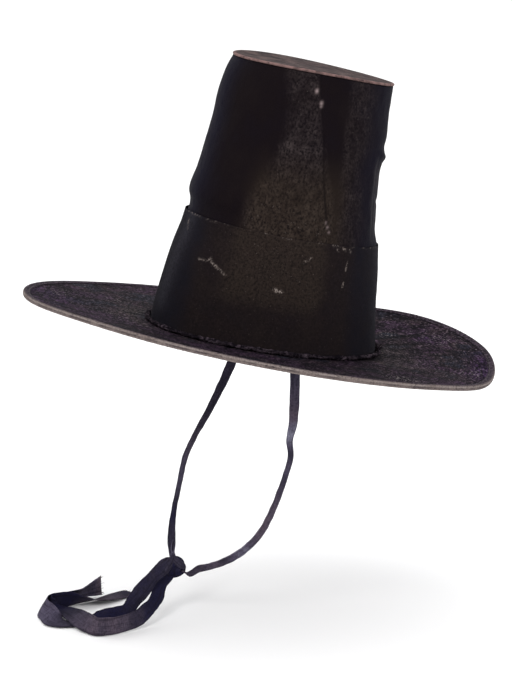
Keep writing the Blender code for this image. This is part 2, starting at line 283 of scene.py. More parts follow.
def attribute(tree, name):
    node = tree.nodes.new("ShaderNodeAttribute")
    node.attribute_name = name
    return node


def grain(tree, source, stretch, scale, detail=4, rough=0.55):
    spread = tree.nodes.new("ShaderNodeMapping")
    spread.inputs["Scale"].default_value = stretch
    link(tree, source, spread.inputs["Vector"])
    made = tree.nodes.new("ShaderNodeTexNoise")
    made.inputs["Scale"].default_value = scale
    made.inputs["Detail"].default_value = detail
    made.inputs["Roughness"].default_value = rough
    link(tree, spread.outputs["Vector"], made.inputs["Vector"])
    return made.outputs["Fac"]


def spanned(tree, source, low, high, toLow=0.0, toHigh=1.0):
    made = tree.nodes.new("ShaderNodeMapRange")
    made.inputs["From Min"].default_value = low
    made.inputs["From Max"].default_value = high
    made.inputs["To Min"].default_value = toLow
    made.inputs["To Max"].default_value = toHigh
    link(tree, source, made.inputs["Value"])
    return made.outputs["Result"]


def graded(tree, source, stops):
    made = tree.nodes.new("ShaderNodeValToRGB")
    ramp = made.color_ramp.elements
    while len(ramp) < len(stops):
        ramp.new(0.5)
    for mark, (at, colour) in zip(ramp, stops):
        mark.position = at
        mark.color = (*colour, 1)
    link(tree, source, made.inputs["Fac"])
    return made.outputs["Color"]


def joined(tree, kind, a, b):
    made = tree.nodes.new("ShaderNodeMath")
    made.operation = kind
    for socket, value in zip(made.inputs, (a, b)):
        if isinstance(value, (int, float)):
            socket.default_value = value
        else:
            link(tree, value, socket)
    return made.outputs["Value"]


def times(tree, a, b):
    return joined(tree, "MULTIPLY", a, b)


def blended(tree, amount, a, b):
    made = tree.nodes.new("ShaderNodeMix")
    made.data_type = "RGBA"
    made.clamp_factor = True
    if isinstance(amount, (int, float)):
        made.inputs["Factor"].default_value = amount
    else:
        link(tree, amount, made.inputs["Factor"])
    for socket, value in ((made.inputs[6], a), (made.inputs[7], b)):
        if isinstance(value, tuple):
            socket.default_value = (*value, 1)
        else:
            link(tree, value, socket)
    return made.outputs[2]


def tinted(tree, body, source, low, high, most, colour):
    return blended(tree, spanned(tree, source, low, high, 0.0, most), body, colour)


def bumped(tree, shader, height, strength, distance, under=None):
    made = tree.nodes.new("ShaderNodeBump")
    made.inputs["Strength"].default_value = strength
    made.inputs["Distance"].default_value = distance
    link(tree, height, made.inputs["Height"])
    if under is not None:
        link(tree, under, made.inputs["Normal"])
    link(tree, made.outputs["Normal"], shader.inputs["Normal"])
    return made.outputs["Normal"]


def markSockets(tree):
    split = tree.nodes.new("ShaderNodeSeparateColor")
    marks = attribute(tree, "marks")
    link(tree, marks.outputs["Color"], split.inputs["Color"])
    return split.outputs["Red"], split.outputs["Green"], split.outputs["Blue"], marks.outputs["Alpha"]


def coated(tree, shader, colour, rough, gloss):
    link(tree, colour, shader.inputs["Base Color"])
    shader.inputs["Roughness"].default_value = rough
    shader.inputs["Specular IOR Level"].default_value = gloss


# Crown: silk plush over a stiff shell

crownLook = {
    "around": 380,
    "up": 170,
    "insideUp": 24,
    "waver": 0.5,
    "fineWaver": 0.22,
    "setIn": 0.15,
    "seamDepth": 0.45,
    "seamRidge": 0.25,
    "cold": (0.0036, 0.0030, 0.0085),
    "dark": (0.0046, 0.0028, 0.0038),
    "warm": (0.0115, 0.0078, 0.0064),
    "sheenCold": (0.0300, 0.0245, 0.0300),
    "sheenWarm": (0.0318, 0.0232, 0.0188),
    "shade": (0.0022, 0.0018, 0.0026),
    "paleSpecks": (0.085, 0.072, 0.066),
    "pale": (0.26, 0.20, 0.20),
    "inside": (0.035, 0.026, 0.020),
    "insideStain": (0.060, 0.045, 0.035),
    # depths of the dents
    "longDent": 2.2,
    "pinch": 0.9,
    "lip": 1.6,
    "leftHollow": 1.3,
    "edgeFold": 0.9,
    "slantFold": 0.8,
    # how strong the painted sheen is, place by place, where the light catches the pile
    "frontSheen": 0.62,
    "frontFoldSheen": 0.38,
    "frontFootSheen": 0.25,
    "sideSheen": 0.42,
    "lowSheen": 0.50,
    "dentSheen": 0.40,
    "dentRimSheen": 0.55,
    "leftEdgeSheen": 0.22,
    "behindSheen": 0.36,
}

# height and turn of the front seam, and of the two edges of the painted sheen beside it
crownSeam = [
    (92, 15.7), (98, 14.5), (111, 11.9), (142, 7.2), (166, 4.4), (193, -0.5), (210, -3.4), (216, -4.2),
]
sheenLeft = [(92, -38), (117, -36.5), (134, -30.5), (154, -24), (174, -21.5), (193, -22.5), (210, -28)]
sheenRight = [(92, 19), (104, 18), (126, 14.5), (141, 9), (160, 4.5), (178, 0.5), (196, -3), (210, -6)]

# turn, height, reach and strength of the worn spots
wornSpots = [
    (-5.3, 202.4, 1.2, 1.0),
    (-0.9, 193.6, 1.2, 0.9),
    (-0.7, 191.4, 1.0, 0.7),
    (13.9, 101.0, 0.9, 0.7),
    (12.6, 104.5, 0.8, 0.6),
    (15.2, 97.5, 0.8, 0.7),
]


def crownDents(height, turn):
    degrees = np.degrees(turnGap(turn, 0))
    side = plateau(degrees, 52, 66, 98, 126)
    made = crownLook["longDent"] * side * plateau(height, 84, 100, 141, 160)
    made += crownLook["pinch"] * bell(height, 163, 4.5) * plateau(degrees, 56, 70, 88, 112)
    made -= crownLook["lip"] * bell(height + (degrees - 60) * 0.25, 158, 3.0) * side
    made += crownLook["leftHollow"] * np.exp(-((height - 98) / 7.0)**4) * bell(degrees, -104, 40)
    made += crownLook["edgeFold"] * bell(degrees, 57, 3.5) * plateau(height, 88, 104, 146, 160)
    made += crownLook["slantFold"] * bell(height + (degrees - 70) * 0.5, 122, 3.0) * side
    return made


def crownMarks(height, turn, fromSeam, radius):
    degrees = np.degrees(turnGap(turn, 0))
    # the edges of the painted sheen wander
    wander = unevenness(around(radius, turn, height), 22, 3)
    ragged = degrees + 6 * wander
    raggedHeight = height + 7 * wander
    left = smoothTable(sheenLeft, height)[..., 0]
    right = smoothTable(sheenRight, height)[..., 0]
    # painted sheen over the front, a painted highlight along the cross fold, and more towards the foot
    sheen = crownLook["frontSheen"] + crownLook["frontFoldSheen"] * bell(height - degrees * 0.12, 159, 5.0)
    sheen = sheen + crownLook["frontFootSheen"] * (1 - softStep(100, 122, height))
    sheen = sheen * plateau(degrees, left - 5, left + 6, right - 3, right + 4)
    side = crownLook["sideSheen"] * softStep(17, 23, degrees) * (1 - softStep(33, 50, ragged))
    low = crownLook["lowSheen"] * plateau(degrees, 12, 17, 24, 32) * (1 - softStep(100, 126, height))
    dent = plateau(ragged, 52, 68, 74, 100) * plateau(raggedHeight, 88, 107, 144, 166)
    dent = crownLook["dentSheen"] * dent
    rim = plateau(ragged, 50, 58, 68, 88) * plateau(raggedHeight, 92, 108, 146, 160)
    rim = crownLook["dentRimSheen"] * rim
    leftEdge = crownLook["leftEdgeSheen"] * plateau(degrees, -112, -96, -92, -78)
    behind = softStep(76, 112, degrees) + 1 - softStep(-140, -106, degrees)
    patchy = crownLook["behindSheen"] * behind * np.clip(0.6 + 0.5 * wander, 0, 1)
    # all the zones together give the painted sheen, which is kept off the seam
    paintedSheen = np.maximum.reduce([sheen, side, low, dent, rim, leftEdge, patchy])
    paintedSheen = paintedSheen * (1 - 0.85 * bell(fromSeam, 0, 0.8))
    warm = 0.5 * softStep(-88, -62, degrees) - 0.36 * softStep(26, 56, ragged)
    warm = warm + 0.5 * plateau(degrees, -48, -30, 17, 30) * (1 - softStep(122, 160, height))
    warm = warm * (1 - behind) + 0.5 * behind
    worn = np.zeros_like(height)
    for spotTurn, spotHeight, reach, strength in wornSpots:
        across = np.radians(degrees - spotTurn) * radius
        spot = bell(across, 0, reach) * bell(height, spotHeight, reach * 1.25)
        worn = np.maximum(worn, strength * spot)
    # the shaded line along the seam is deepest just over the band
    deepest = softStep(96, 108, height) * (1 - 0.7 * softStep(126, 140, height))
    groove = 0.75 * bell(fromSeam, 0, 0.7) * deepest
    return np.stack([np.clip(warm, 0, 1), paintedSheen, worn, groove], axis=-1)


def buildCrown():
    turns = crowdedTurns(crownLook["around"])
    foot = brimTop(footRadius(turns), turns) + hatShape["gap"]
    top = crownTopEdge(turns)
    rise = np.linspace(0, 1, crownLook["up"])[:, None]
    height = foot + (top - foot) * rise
    turn = np.broadcast_to(turns, height.shape)
    plain = crownRadius(height, turn)
    upright = around(plain, turn, height)
    soft = crownLook["waver"] * unevenness(upright, 26, 1)
    soft = soft + crownLook["fineWaver"] * unevenness(upright, 7, 2)
    seamTurn = np.radians(smoothTable(crownSeam, height)[..., 0])
    fromSeam = turnGap(turn, seamTurn) * plain
    seam = crownLook["seamDepth"] * bell(fromSeam, 0, 0.9) - crownLook["seamRidge"] * bell(fromSeam, 2.2, 1.4)
    # under the band the crown keeps its plain shape
    free = softStep(70, 95, height)
    outer = plain + (soft - crownLook["setIn"] - crownDents(height, turn) - seam) * free
    innerRise = np.linspace(1, 0, crownLook["insideUp"])[:, None]
    innerHeight = foot + (top - foot) * innerRise
    innerTurn = np.broadcast_to(turns, innerHeight.shape)
    inner = crownRadius(innerHeight, innerTurn) - hatShape["wall"] - crownDents(innerHeight, innerTurn)
    points = np.concatenate([around(outer, turn, height), around(inner, innerTurn, innerHeight)])
    innerMarks = np.zeros(innerHeight.shape + (4,))
    marks = np.concatenate([crownMarks(height, turn, fromSeam, plain), innerMarks])
    faces = gridFaces(crownLook["up"] + crownLook["insideUp"], crownLook["around"], closeRows=True)
    faceLook = [0] * (crownLook["up"] * crownLook["around"])
    faceLook += [1] * (crownLook["insideUp"] * crownLook["around"])
    return makePiece("crownPlush", tipped(points), faces, [crownPlush(), crownInside()],
                     ["crown"], nap=points, marks=marks, faceLook=faceLook)


def crownPlush():
    made, tree, shader = startMaterial("crownSilkPlush")
    nap = attribute(tree, "nap").outputs["Vector"]
    warm, paintedSheen, worn, groove = markSockets(tree)
    crinkle = grain(tree, nap, (1, 1, 0.8), 560, 5, 0.68)
    brushed = grain(tree, nap, (1, 1, 0.5), 210, 4, 0.6)
    patches = grain(tree, nap, (1, 1, 0.7), 50, 3, 0.5)
    clusters = grain(tree, nap, (1, 1, 0.9), 120, 4, 0.6)
    flecks = grain(tree, nap, (1, 1, 0.8), 620, 2, 0.5)
    shifted = joined(tree, "ADD", warm, spanned(tree, patches, 0.3, 0.7, -0.07, 0.07))
    stops = [(0.0, crownLook["cold"]), (0.5, crownLook["dark"]), (1.0, crownLook["warm"])]
    ground = graded(tree, shifted, stops)
    # painted sheen: paler pile where the light catches it, mottled by the crinkle
    sheenColour = blended(tree, warm, crownLook["sheenCold"], crownLook["sheenWarm"])
    mottled = spanned(tree, crinkle, 0.36, 0.66, 0.0, 1.5)
    mottled = times(tree, mottled, spanned(tree, brushed, 0.3, 0.7, 0.3, 1.1))
    mottled = times(tree, mottled, spanned(tree, clusters, 0.34, 0.66, 0.40, 1.35))
    mottled = times(tree, mottled, paintedSheen)
    body = blended(tree, mottled, ground, sheenColour)
    # painted shade in the hollows of the crinkle, inside the painted sheen
    hollow = times(tree, spanned(tree, crinkle, 0.50, 0.38, 0.0, 0.7), paintedSheen)
    body = blended(tree, hollow, body, crownLook["shade"])
    # pale specks, painted glints that show only inside the painted sheen
    paleSpecks = times(tree, spanned(tree, flecks, 0.68, 0.74, 0.0, 0.5), paintedSheen)
    body = blended(tree, paleSpecks, body, crownLook["paleSpecks"])
    body = blended(tree, times(tree, groove, 0.9), body, crownLook["shade"])
    bald = times(tree, worn, spanned(tree, brushed, 0.35, 0.62, 0.6, 1.0))
    coated(tree, shader, blended(tree, bald, body, crownLook["pale"]), 0.7, 0.03)
    under = bumped(tree, shader, brushed, 0.4, 0.0008)
    bumped(tree, shader, crinkle, 0.5, 0.0005, under)
    return made


def crownInside():
    made, tree, shader = startMaterial("shellInside")
    nap = attribute(tree, "nap").outputs["Vector"]
    stain = grain(tree, nap, (1, 1, 1), 35, 4)
    crossed = grain(tree, nap, (1, 1, 1), 1500, 2)
    body = blended(tree, spanned(tree, stain, 0.35, 0.65), crownLook["inside"], crownLook["insideStain"])
    coated(tree, shader, body, 0.85, 0.5)
    bumped(tree, shader, crossed, 0.4, 0.0002)
    return made


# Tip: worn round top

tipLook = {
    "around": 340,
    "rings": 46,
    "thick": 2.0,
    "waver": 0.5,
    "fineWaver": 0.12,
    "fray": 0.3,
    "dark": (0.020, 0.013, 0.014),
    "light": (0.090, 0.060, 0.056),
    "rim": (0.170, 0.104, 0.098),
    "rimReach": 2.4,
}


def buildTip():
    turns = evenTurns(tipLook["around"])
    edge = crownTopEdge(turns)
    rim = crownRadius(edge, turns)
    rimLine = around(rim, turns, edge)
    middle = rimLine.mean(axis=0)
    # reach past the wall, share of the thickness
    profile = [(-1.5, 0.0), (-0.2, 0.02), (0.35, 0.22), (0.5, 0.5), (0.3, 0.8), (-0.4, 0.97), (-1.5, 1.0)]
    rows = []
    for out, share in profile:
        frayed = tipLook["fray"] * unevenness(rimLine, 3.0, 4 + share) if 0.1 < share < 0.99 else 0
        rows.append(around(rim + out + frayed, turns, edge + hatShape["gap"] + share * tipLook["thick"]))
    top = rows[-1]
    for share in 1 - np.arange(1, tipLook["rings"]) / tipLook["rings"]:
        ring = middle + (top - middle) * share
        ring[:, 2] += (hatShape["gap"] + tipLook["thick"]) * (1 - share)
        ring[:, 2] += tipLook["waver"] * unevenness(ring, 30, 6) * (1 - share**6)
        ring[:, 2] += tipLook["fineWaver"] * unevenness(ring, 6, 7)
        rows.append(ring)
    centres = [rows[-1].mean(axis=0), rows[0].mean(axis=0)]
    points = np.concatenate([np.array(rows).reshape(-1, 3), centres])
    faces = gridFaces(len(rows), tipLook["around"])
    faces += fanFaces((len(rows) - 1) * tipLook["around"], tipLook["around"], len(points) - 2)
    faces += fanFaces(0, tipLook["around"], len(points) - 1, flip=True)
    turn = np.arctan2(points[:, 1], points[:, 0])
    inward = crownRadius(crownTopEdge(turn), turn) - np.hypot(points[:, 0], points[:, 1])
    rubbed = 1 - softStep(0.4, tipLook["rimReach"], inward)
    blank = np.zeros_like(rubbed)
    marks = np.stack([rubbed, blank, blank, blank + 1], axis=-1)
    return makePiece("crownTipPlush", tipped(points), faces, [tipPlush()], ["crown_tip"],
                     nap=points, marks=marks)


def tipPlush():
    made, tree, shader = startMaterial("wornTipPlush")
    nap = attribute(tree, "nap").outputs["Vector"]
    edgeMark = markSockets(tree)[0]
    brushed = grain(tree, nap, (1, 0.45, 1), 330, 5, 0.66)
    patches = grain(tree, nap, (1, 1, 1), 70, 4, 0.6)
    rubbed = grain(tree, nap, (1, 1, 1), 160, 4, 0.6)
    body = blended(tree, spanned(tree, patches, 0.38, 0.62), tipLook["dark"], tipLook["light"])
    body = tinted(tree, body, brushed, 0.40, 0.62, 0.75, tipLook["dark"])
    rim = times(tree, edgeMark, spanned(tree, rubbed, 0.38, 0.56, 0.15, 1.0))
    coated(tree, shader, blended(tree, rim, body, tipLook["rim"]), 0.85, 0.08)
    bumped(tree, shader, brushed, 0.6, 0.0007)
    return made


# Band: deep woven cloth round the foot of the crown

bandLook = {
    "around": 420,
    "up": 76,
    "cold": (0.0062, 0.0056, 0.0092),
    "dark": (0.0105, 0.0072, 0.0078),
    "warm": (0.0205, 0.0146, 0.0122),
    "sheen": (0.0260, 0.0250, 0.0330),
    "lit": (0.048, 0.038, 0.033),
    "shade": (0.0045, 0.0036, 0.0038),
    "paleSpecks": (0.100, 0.082, 0.074),
    "rubbed": (0.30, 0.25, 0.225),
    "threads": 2100,
    "out": 0.75,            # how far the outer face stands off the crown
    "insideRows": 12,
    "waver": 0.35,
    "fineWaver": 0.12,
    "pleat": 0.35,
    "edgeWaver": 0.5,
    "clear": 0.05,          # between the crown and the cloth's inner face
    "meanRadius": 80,
}


def buildBand():
    turns = crowdedTurns(bandLook["around"])
    foot = brimTop(footRadius(turns), turns) + 2 * hatShape["gap"]
    edgeWave = unevenness(around(bandLook["meanRadius"] + 0 * turns, turns, 0 * turns), 14, 8)
    top = hatShape["bandTop"] - hatShape["bandFall"] * np.sin(turns) + bandLook["edgeWaver"] * edgeWave
    rise = np.linspace(0, 1, bandLook["up"])[:, None]
    height = foot + (top - foot) * rise
    turn = np.broadcast_to(turns, height.shape)
    degrees = np.degrees(turnGap(turn, 0))
    base = crownRadius(height, turn) + hatShape["gap"]
    upright = around(base, turn, height)
    soft = bandLook["waver"] * unevenness(upright, 30, 9) + bandLook["fineWaver"] * unevenness(upright, 6, 10)
    pleat = bandLook["pleat"] * bell(degrees - (height - 60) * 0.06, 27, 1.6) * softStep(20, 60, height)
    outer = base + bandLook["out"] + np.clip(soft + pleat, -0.3, 0.7)
    rows = [around(outer[i], turns, height[i]) for i in range(bandLook["up"])]
    rows.append(around(outer[-1] - 0.25, turns, height[-1] + 0.25))
    rows.append(around(base[-1] + 0.2, turns, height[-1] + 0.2))
    for share in np.linspace(1, 0, bandLook["insideRows"]):
        level = foot + (top - foot) * share
        rows.append(around(crownRadius(level, turns) + hatShape["gap"] + bandLook["clear"], turns, level))
    points = np.array(rows)
    warm = 0.5 * softStep(-72, -54, degrees) - 0.42 * softStep(26, 40, degrees)
    warm = warm + 0.5 * plateau(degrees, -50, -34, 8, 18) * softStep(30, 46, height)
    edgeWear = 0.30 + 0.25 * (1 - softStep(-80, -50, degrees))
    rub = edgeWear * bell(height, top, 0.9) * spottedShare(upright, 12)
    rub = np.maximum(rub, bandScuffs(degrees, height, base))
    sheen = bell(degrees - (height - 45) * 0.06, -84, 7.5) * softStep(8, 24, height)
    sheen = np.maximum(sheen, 0.45 * bell(degrees, 66, 9))
    marks = np.zeros(points.shape[:-1] + (4,))
    outside = np.stack([np.clip(warm, 0, 1), rub, 0.8 * sheen, np.ones_like(warm)], axis=-1)
    marks[:bandLook["up"]] = outside
    faces = gridFaces(len(rows), bandLook["around"], closeRows=True)
    band = makePiece("hatBandCloth", tipped(points), faces, [bandCloth()], ["hat_band"],
                     nap=points, marks=marks)
    return band


def spottedShare(points, seed):
    return softStep(0.1, 0.5, unevenness(points, 5, seed) + 0.5 * unevenness(points, 2, seed + 1))


# each scuff's start turn, start height, end turn, end height, width and strength
scuffTable = [
    (-61.5, 61.6, -55.5, 61.6, 0.55, 0.50),
    (-54.5, 62.6, -52.8, 64.6, 0.6, 0.7),
    (-52.8, 62.4, -46.0, 57.4, 0.65, 0.75),
    (-46.0, 57.4, -41.5, 54.4, 0.55, 0.5),
    (-84.0, 86.6, -83.0, 84.6, 0.8, 0.75),
    (-82.0, 83.0, -81.0, 79.6, 0.7, 0.4),
    (-13.8, 50.9, -12.2, 49.4, 0.9, 1.0),
    (-12.2, 49.2, -9.6, 49.4, 0.8, 1.0),
    (4.8, 77.8, 3.4, 75.4, 0.6, 0.55),
    (3.4, 75.4, 0.6, 73.6, 0.5, 0.35),
    (29.4, 76.2, 28.0, 69.4, 0.5, 0.6),
    (27.0, 60.4, 26.4, 57.6, 0.5, 0.7),
    (21.5, 85.4, 22.5, 84.6, 0.6, 0.5),
    (25.5, 86.4, 27.5, 85.0, 0.6, 0.55),
    (31.0, 85.6, 32.0, 83.6, 0.6, 0.4),
]


def bandScuffs(degrees, height, radius):
    made = np.zeros_like(height)
    for startTurn, startHeight, endTurn, endHeight, width, strength in scuffTable:
        x = np.radians(degrees - startTurn) * radius
        y = height - startHeight
        runX = math.radians(endTurn - startTurn) * bandLook["meanRadius"]
        runY = endHeight - startHeight
        along = np.clip((x * runX + y * runY) / (runX * runX + runY * runY), 0, 1)
        away = np.hypot(x - along * runX, y - along * runY)
        made = np.maximum(made, strength * bell(away, 0, width))
    return made


def bandCloth():
    made, tree, shader = startMaterial("bandWovenCloth")
    nap = attribute(tree, "nap").outputs["Vector"]
    warm, rub, sheen = markSockets(tree)[:3]
    upright = grain(tree, nap, (1, 1, 0.06), bandLook["threads"], 2, 0.4)
    level = grain(tree, nap, (0.06, 0.06, 1), bandLook["threads"], 2, 0.4)
    weave = joined(tree, "ADD", upright, level)
    crinkle = grain(tree, nap, (1, 1, 1), 560, 5, 0.72)
    patches = grain(tree, nap, (1, 1, 1), 60, 5, 0.62)
    fuzz = grain(tree, nap, (1, 1, 1), 700, 3, 0.6)
    shifted = joined(tree, "ADD", warm, spanned(tree, patches, 0.3, 0.7, -0.12, 0.12))
    stops = [(0.0, bandLook["cold"]), (0.5, bandLook["dark"]), (1.0, bandLook["warm"])]
    body = graded(tree, shifted, stops)
    glow = times(tree, sheen, spanned(tree, crinkle, 0.35, 0.65, 0.35, 1.0))
    body = blended(tree, glow, body, bandLook["sheen"])
    deep = times(tree, spanned(tree, crinkle, 0.52, 0.38, 0.0, 0.75), spanned(tree, warm, 0.1, 0.8, 0.3, 1.0))
    body = blended(tree, deep, body, bandLook["shade"])
    lit = times(tree, spanned(tree, crinkle, 0.55, 0.70, 0.0, 0.25), warm)
    body = blended(tree, lit, body, bandLook["lit"])
    body = tinted(tree, body, weave, 0.75, 1.3, 0.35, bandLook["shade"])
    specks = times(tree, spanned(tree, fuzz, 0.67, 0.73, 0.0, 0.6), warm)
    body = blended(tree, specks, body, bandLook["paleSpecks"])
    whole = spanned(tree, rub, 0.80, 0.95)
    scuffed = times(tree, rub, joined(tree, "MAXIMUM", spanned(tree, fuzz, 0.45, 0.57), whole))
    coated(tree, shader, blended(tree, scuffed, body, bandLook["rubbed"]), 0.82, 0.03)
    under = bumped(tree, shader, weave, 0.5, 0.00025)
    bumped(tree, shader, crinkle, 0.35, 0.0006, under)
    return made


# Brim: brushed plush with a bound edge

brimLook = {
    "around": 420,
    "across": 52,
    "below": 22,
    "violet": (0.060, 0.034, 0.062),
    "slate": (0.026, 0.028, 0.042),
    "brown": (0.052, 0.035, 0.040),
    "purple": (0.046, 0.019, 0.074),
    "dark": (0.0040, 0.0028, 0.0050),
    "deep": (0.0014, 0.0010, 0.0018),
    "grey": (0.110, 0.092, 0.080),
    "lit": (0.190, 0.150, 0.180),
    "fleck": (0.46, 0.41, 0.40),
    "waver": 0.5,
    "fineWaver": 0.10,
    "patternRadius": 42,
}

# turn, radius and share of the pale flecks
brimFlecks = [
    (-116, 166, 0.55),
    (-130, 130, 0.3),
    (-96, 118, 0.35),
    (100, 158, 0.5),
    (66, 166, 0.4),
    (112, 128, 0.25),
]

# turn of each line of painted crease shade, the radius where it starts and ends, and its half width
brimCreaseShades = [
    (88, 96, 160, 2.6),
    (97, 98, 152, 2.2),
    (66, 94, 128, 3.0),
    (108, 104, 158, 2.0),
]


def brimWave(points):
    return brimLook["waver"] * unevenness(points, 55, 21) + brimLook["fineWaver"] * unevenness(points, 9, 22)


def buildBrim():
    turns = evenTurns(brimLook["around"])
    levels = [(reach, 1) for reach in np.linspace(0, 1, brimLook["across"])]
    levels += [(reach, -1) for reach in np.linspace(1, 0, brimLook["below"])]
    rows = []
    for reach, side in levels:
        ring = brimPoint(np.full_like(turns, reach), turns, side * hatShape["brimThick"] / 2)
        ring[:, 2] += brimWave(ring) * plateau(reach, 0.03, 0.15, 0.9, 0.97)
        rows.append(ring)
    points = np.array(rows)
    turn = np.arctan2(points[..., 1], points[..., 0])
    degrees = np.degrees(turn)
    radius = np.hypot(points[..., 0], points[..., 1])
    # polar pattern space, so that the pile runs round the brim with no join
    nap = around(brimLook["patternRadius"] + 0 * turn, turn, radius)
    browned = 0.8 * bell(degrees, 66, 24) * (1 - softStep(100, 138, radius))
    browned = np.maximum(browned, 0.85 * bell(radius, 101, 9) * bell(degrees, -84, 15))
    browned = np.maximum(browned, 0.95 * bell(radius, 105, 9) * bell(degrees, -112, 15))
    flecks = bell(degrees, 28, 4.5) * bell(radius, 156, 12)
    for fleckTurn, fleckRadius, share in brimFlecks:
        flecks = np.maximum(flecks, share * bell(degrees, fleckTurn, 5) * bell(radius, fleckRadius, 8))
    # painted shade over the front of the brim, less towards its edge
    shade = 0.42 * plateau(degrees, -86, -58, 28, 52) * (1 - 0.6 * softStep(158, 180, radius))
    # painted shade along the creases that run out from the roll at the right, and painted shade in the corner
    # beside it
    for creaseTurn, near, far, width in brimCreaseShades:
        away = np.radians(degrees - creaseTurn) * radius
        shade = np.maximum(shade, plateau(radius, near - 8, near, far - 16, far) * bell(away, 0, width))
    shade = np.maximum(shade, bell(degrees, 48, 26) * bell(radius, 94, 7))
    purple = bell(degrees, 72, 13) * softStep(152, 178, radius)
    purple = np.maximum(purple, 0.65 * bell(degrees, -104, 17) * softStep(128, 172, radius))
    purple = np.maximum(purple, 0.5 * bell(degrees, 104, 5) * bell(radius, 150, 10))
    marks = np.stack([browned, flecks, shade, purple], axis=-1)
    faces = gridFaces(len(rows), brimLook["around"], closeRows=True)
    faces = [tuple(reversed(f)) for f in faces]
    return makePiece("brimPlush", tipped(points), faces, [brimPile()], ["brim"],
                     nap=nap, marks=marks)


def brimPile():
    made, tree, shader = startMaterial("brimBrushedPlush")
    nap = attribute(tree, "nap").outputs["Vector"]
    where = tree.nodes.new("ShaderNodeTexCoord").outputs["Object"]
    brown, flecks, shade, purple = markSockets(tree)
    creases = grain(tree, nap, (1, 1, 0.16), 270, 4, 0.65)
    streaks = grain(tree, nap, (1, 1, 2.0), 330, 5, 0.7)
    tufts = grain(tree, where, (1, 1, 1), 470, 4, 0.65)
    clumps = grain(tree, where, (1, 1, 1), 200, 4, 0.65)
    patches = grain(tree, where, (1, 1, 1), 26, 4, 0.55)
    stops = [(0.40, brimLook["slate"]), (0.47, brimLook["brown"]), (0.56, brimLook["violet"])]
    body = graded(tree, patches, stops)
    body = blended(tree, times(tree, purple, 0.9), body, brimLook["purple"])
    greyed = times(tree, brown, spanned(tree, tufts, 0.34, 0.56, 0.3, 1.0))
    body = blended(tree, greyed, body, brimLook["grey"])
    body = tinted(tree, body, streaks, 0.44, 0.58, 0.95, brimLook["dark"])
    body = tinted(tree, body, tufts, 0.47, 0.58, 0.95, brimLook["dark"])
    body = tinted(tree, body, creases, 0.50, 0.60, 0.9, brimLook["dark"])
    body = tinted(tree, body, clumps, 0.52, 0.60, 0.8, brimLook["dark"])
    # painted shade sunk into the tufts where the shade mark lies
    sunk = times(tree, shade, spanned(tree, tufts, 0.40, 0.56, 0.75, 1.0))
    body = blended(tree, sunk, body, brimLook["deep"])
    lit = times(tree, spanned(tree, tufts, 0.42, 0.30, 0.0, 0.75), spanned(tree, shade, 0.0, 0.8, 1.0, 0.3))
    body = blended(tree, lit, body, brimLook["lit"])
    whitened = times(tree, flecks, spanned(tree, tufts, 0.42, 0.36, 0.0, 1.0))
    coated(tree, shader, blended(tree, whitened, body, brimLook["fleck"]), 0.8, 0.02)
    under = bumped(tree, shader, creases, 0.5, 0.0009)
    under = bumped(tree, shader, streaks, 0.5, 0.0007, under)
    bumped(tree, shader, tufts, 0.6, 0.0008, under)
    return made


# Binding: worn tape folded round the brim's edge, with two rows of stitches

bindingLook = {
    "around": 420,
    "width": 4.5,
    "thick": 0.9,
    "light": (0.150, 0.120, 0.112),
    "pale": (0.300, 0.258, 0.238),
    "plush": (0.062, 0.044, 0.062),
    "dark": (0.010, 0.007, 0.011),
    "stitchLength": 2.4,
    "stitchThick": 0.34,
    "stitchEvery": 4.2,
    "stitchIn": 3.3,
    "riseAtStitch": 0.38,
    "stitchPath": 400,
    "thread": (0.030, 0.022, 0.030),
    "threadLight": (0.075, 0.058, 0.066),
    "waver": 0.10,
    "edgeWaver": 0.0016,
    "patternRadius": 180,
}


def bindingProfile():
    inside = hatShape["brimThick"] / 2 + hatShape["gap"]
    outside = inside + bindingLook["thick"]
    width = bindingLook["width"]
    outer = [
        (-width, inside + 0.03),
        (-width * 0.8, inside + 0.3),
        (-width * 0.45, outside - 0.2),
        (-1.0, outside),
    ]
    for angle in np.radians(np.linspace(90, -90, 11)):
        outer.append((0.15 + 1.1 * math.cos(angle), outside * math.sin(angle)))
    outer += [
        (-1.0, -outside),
        (-width * 0.55, -outside + 0.02),
        (-width + 0.25, -outside),
        (-width, -outside + 0.35),
    ]
    inner = [(-width, -inside), (0.3, -inside), (0.3, inside), (-width, inside)]
    return outer + inner, len(outer)


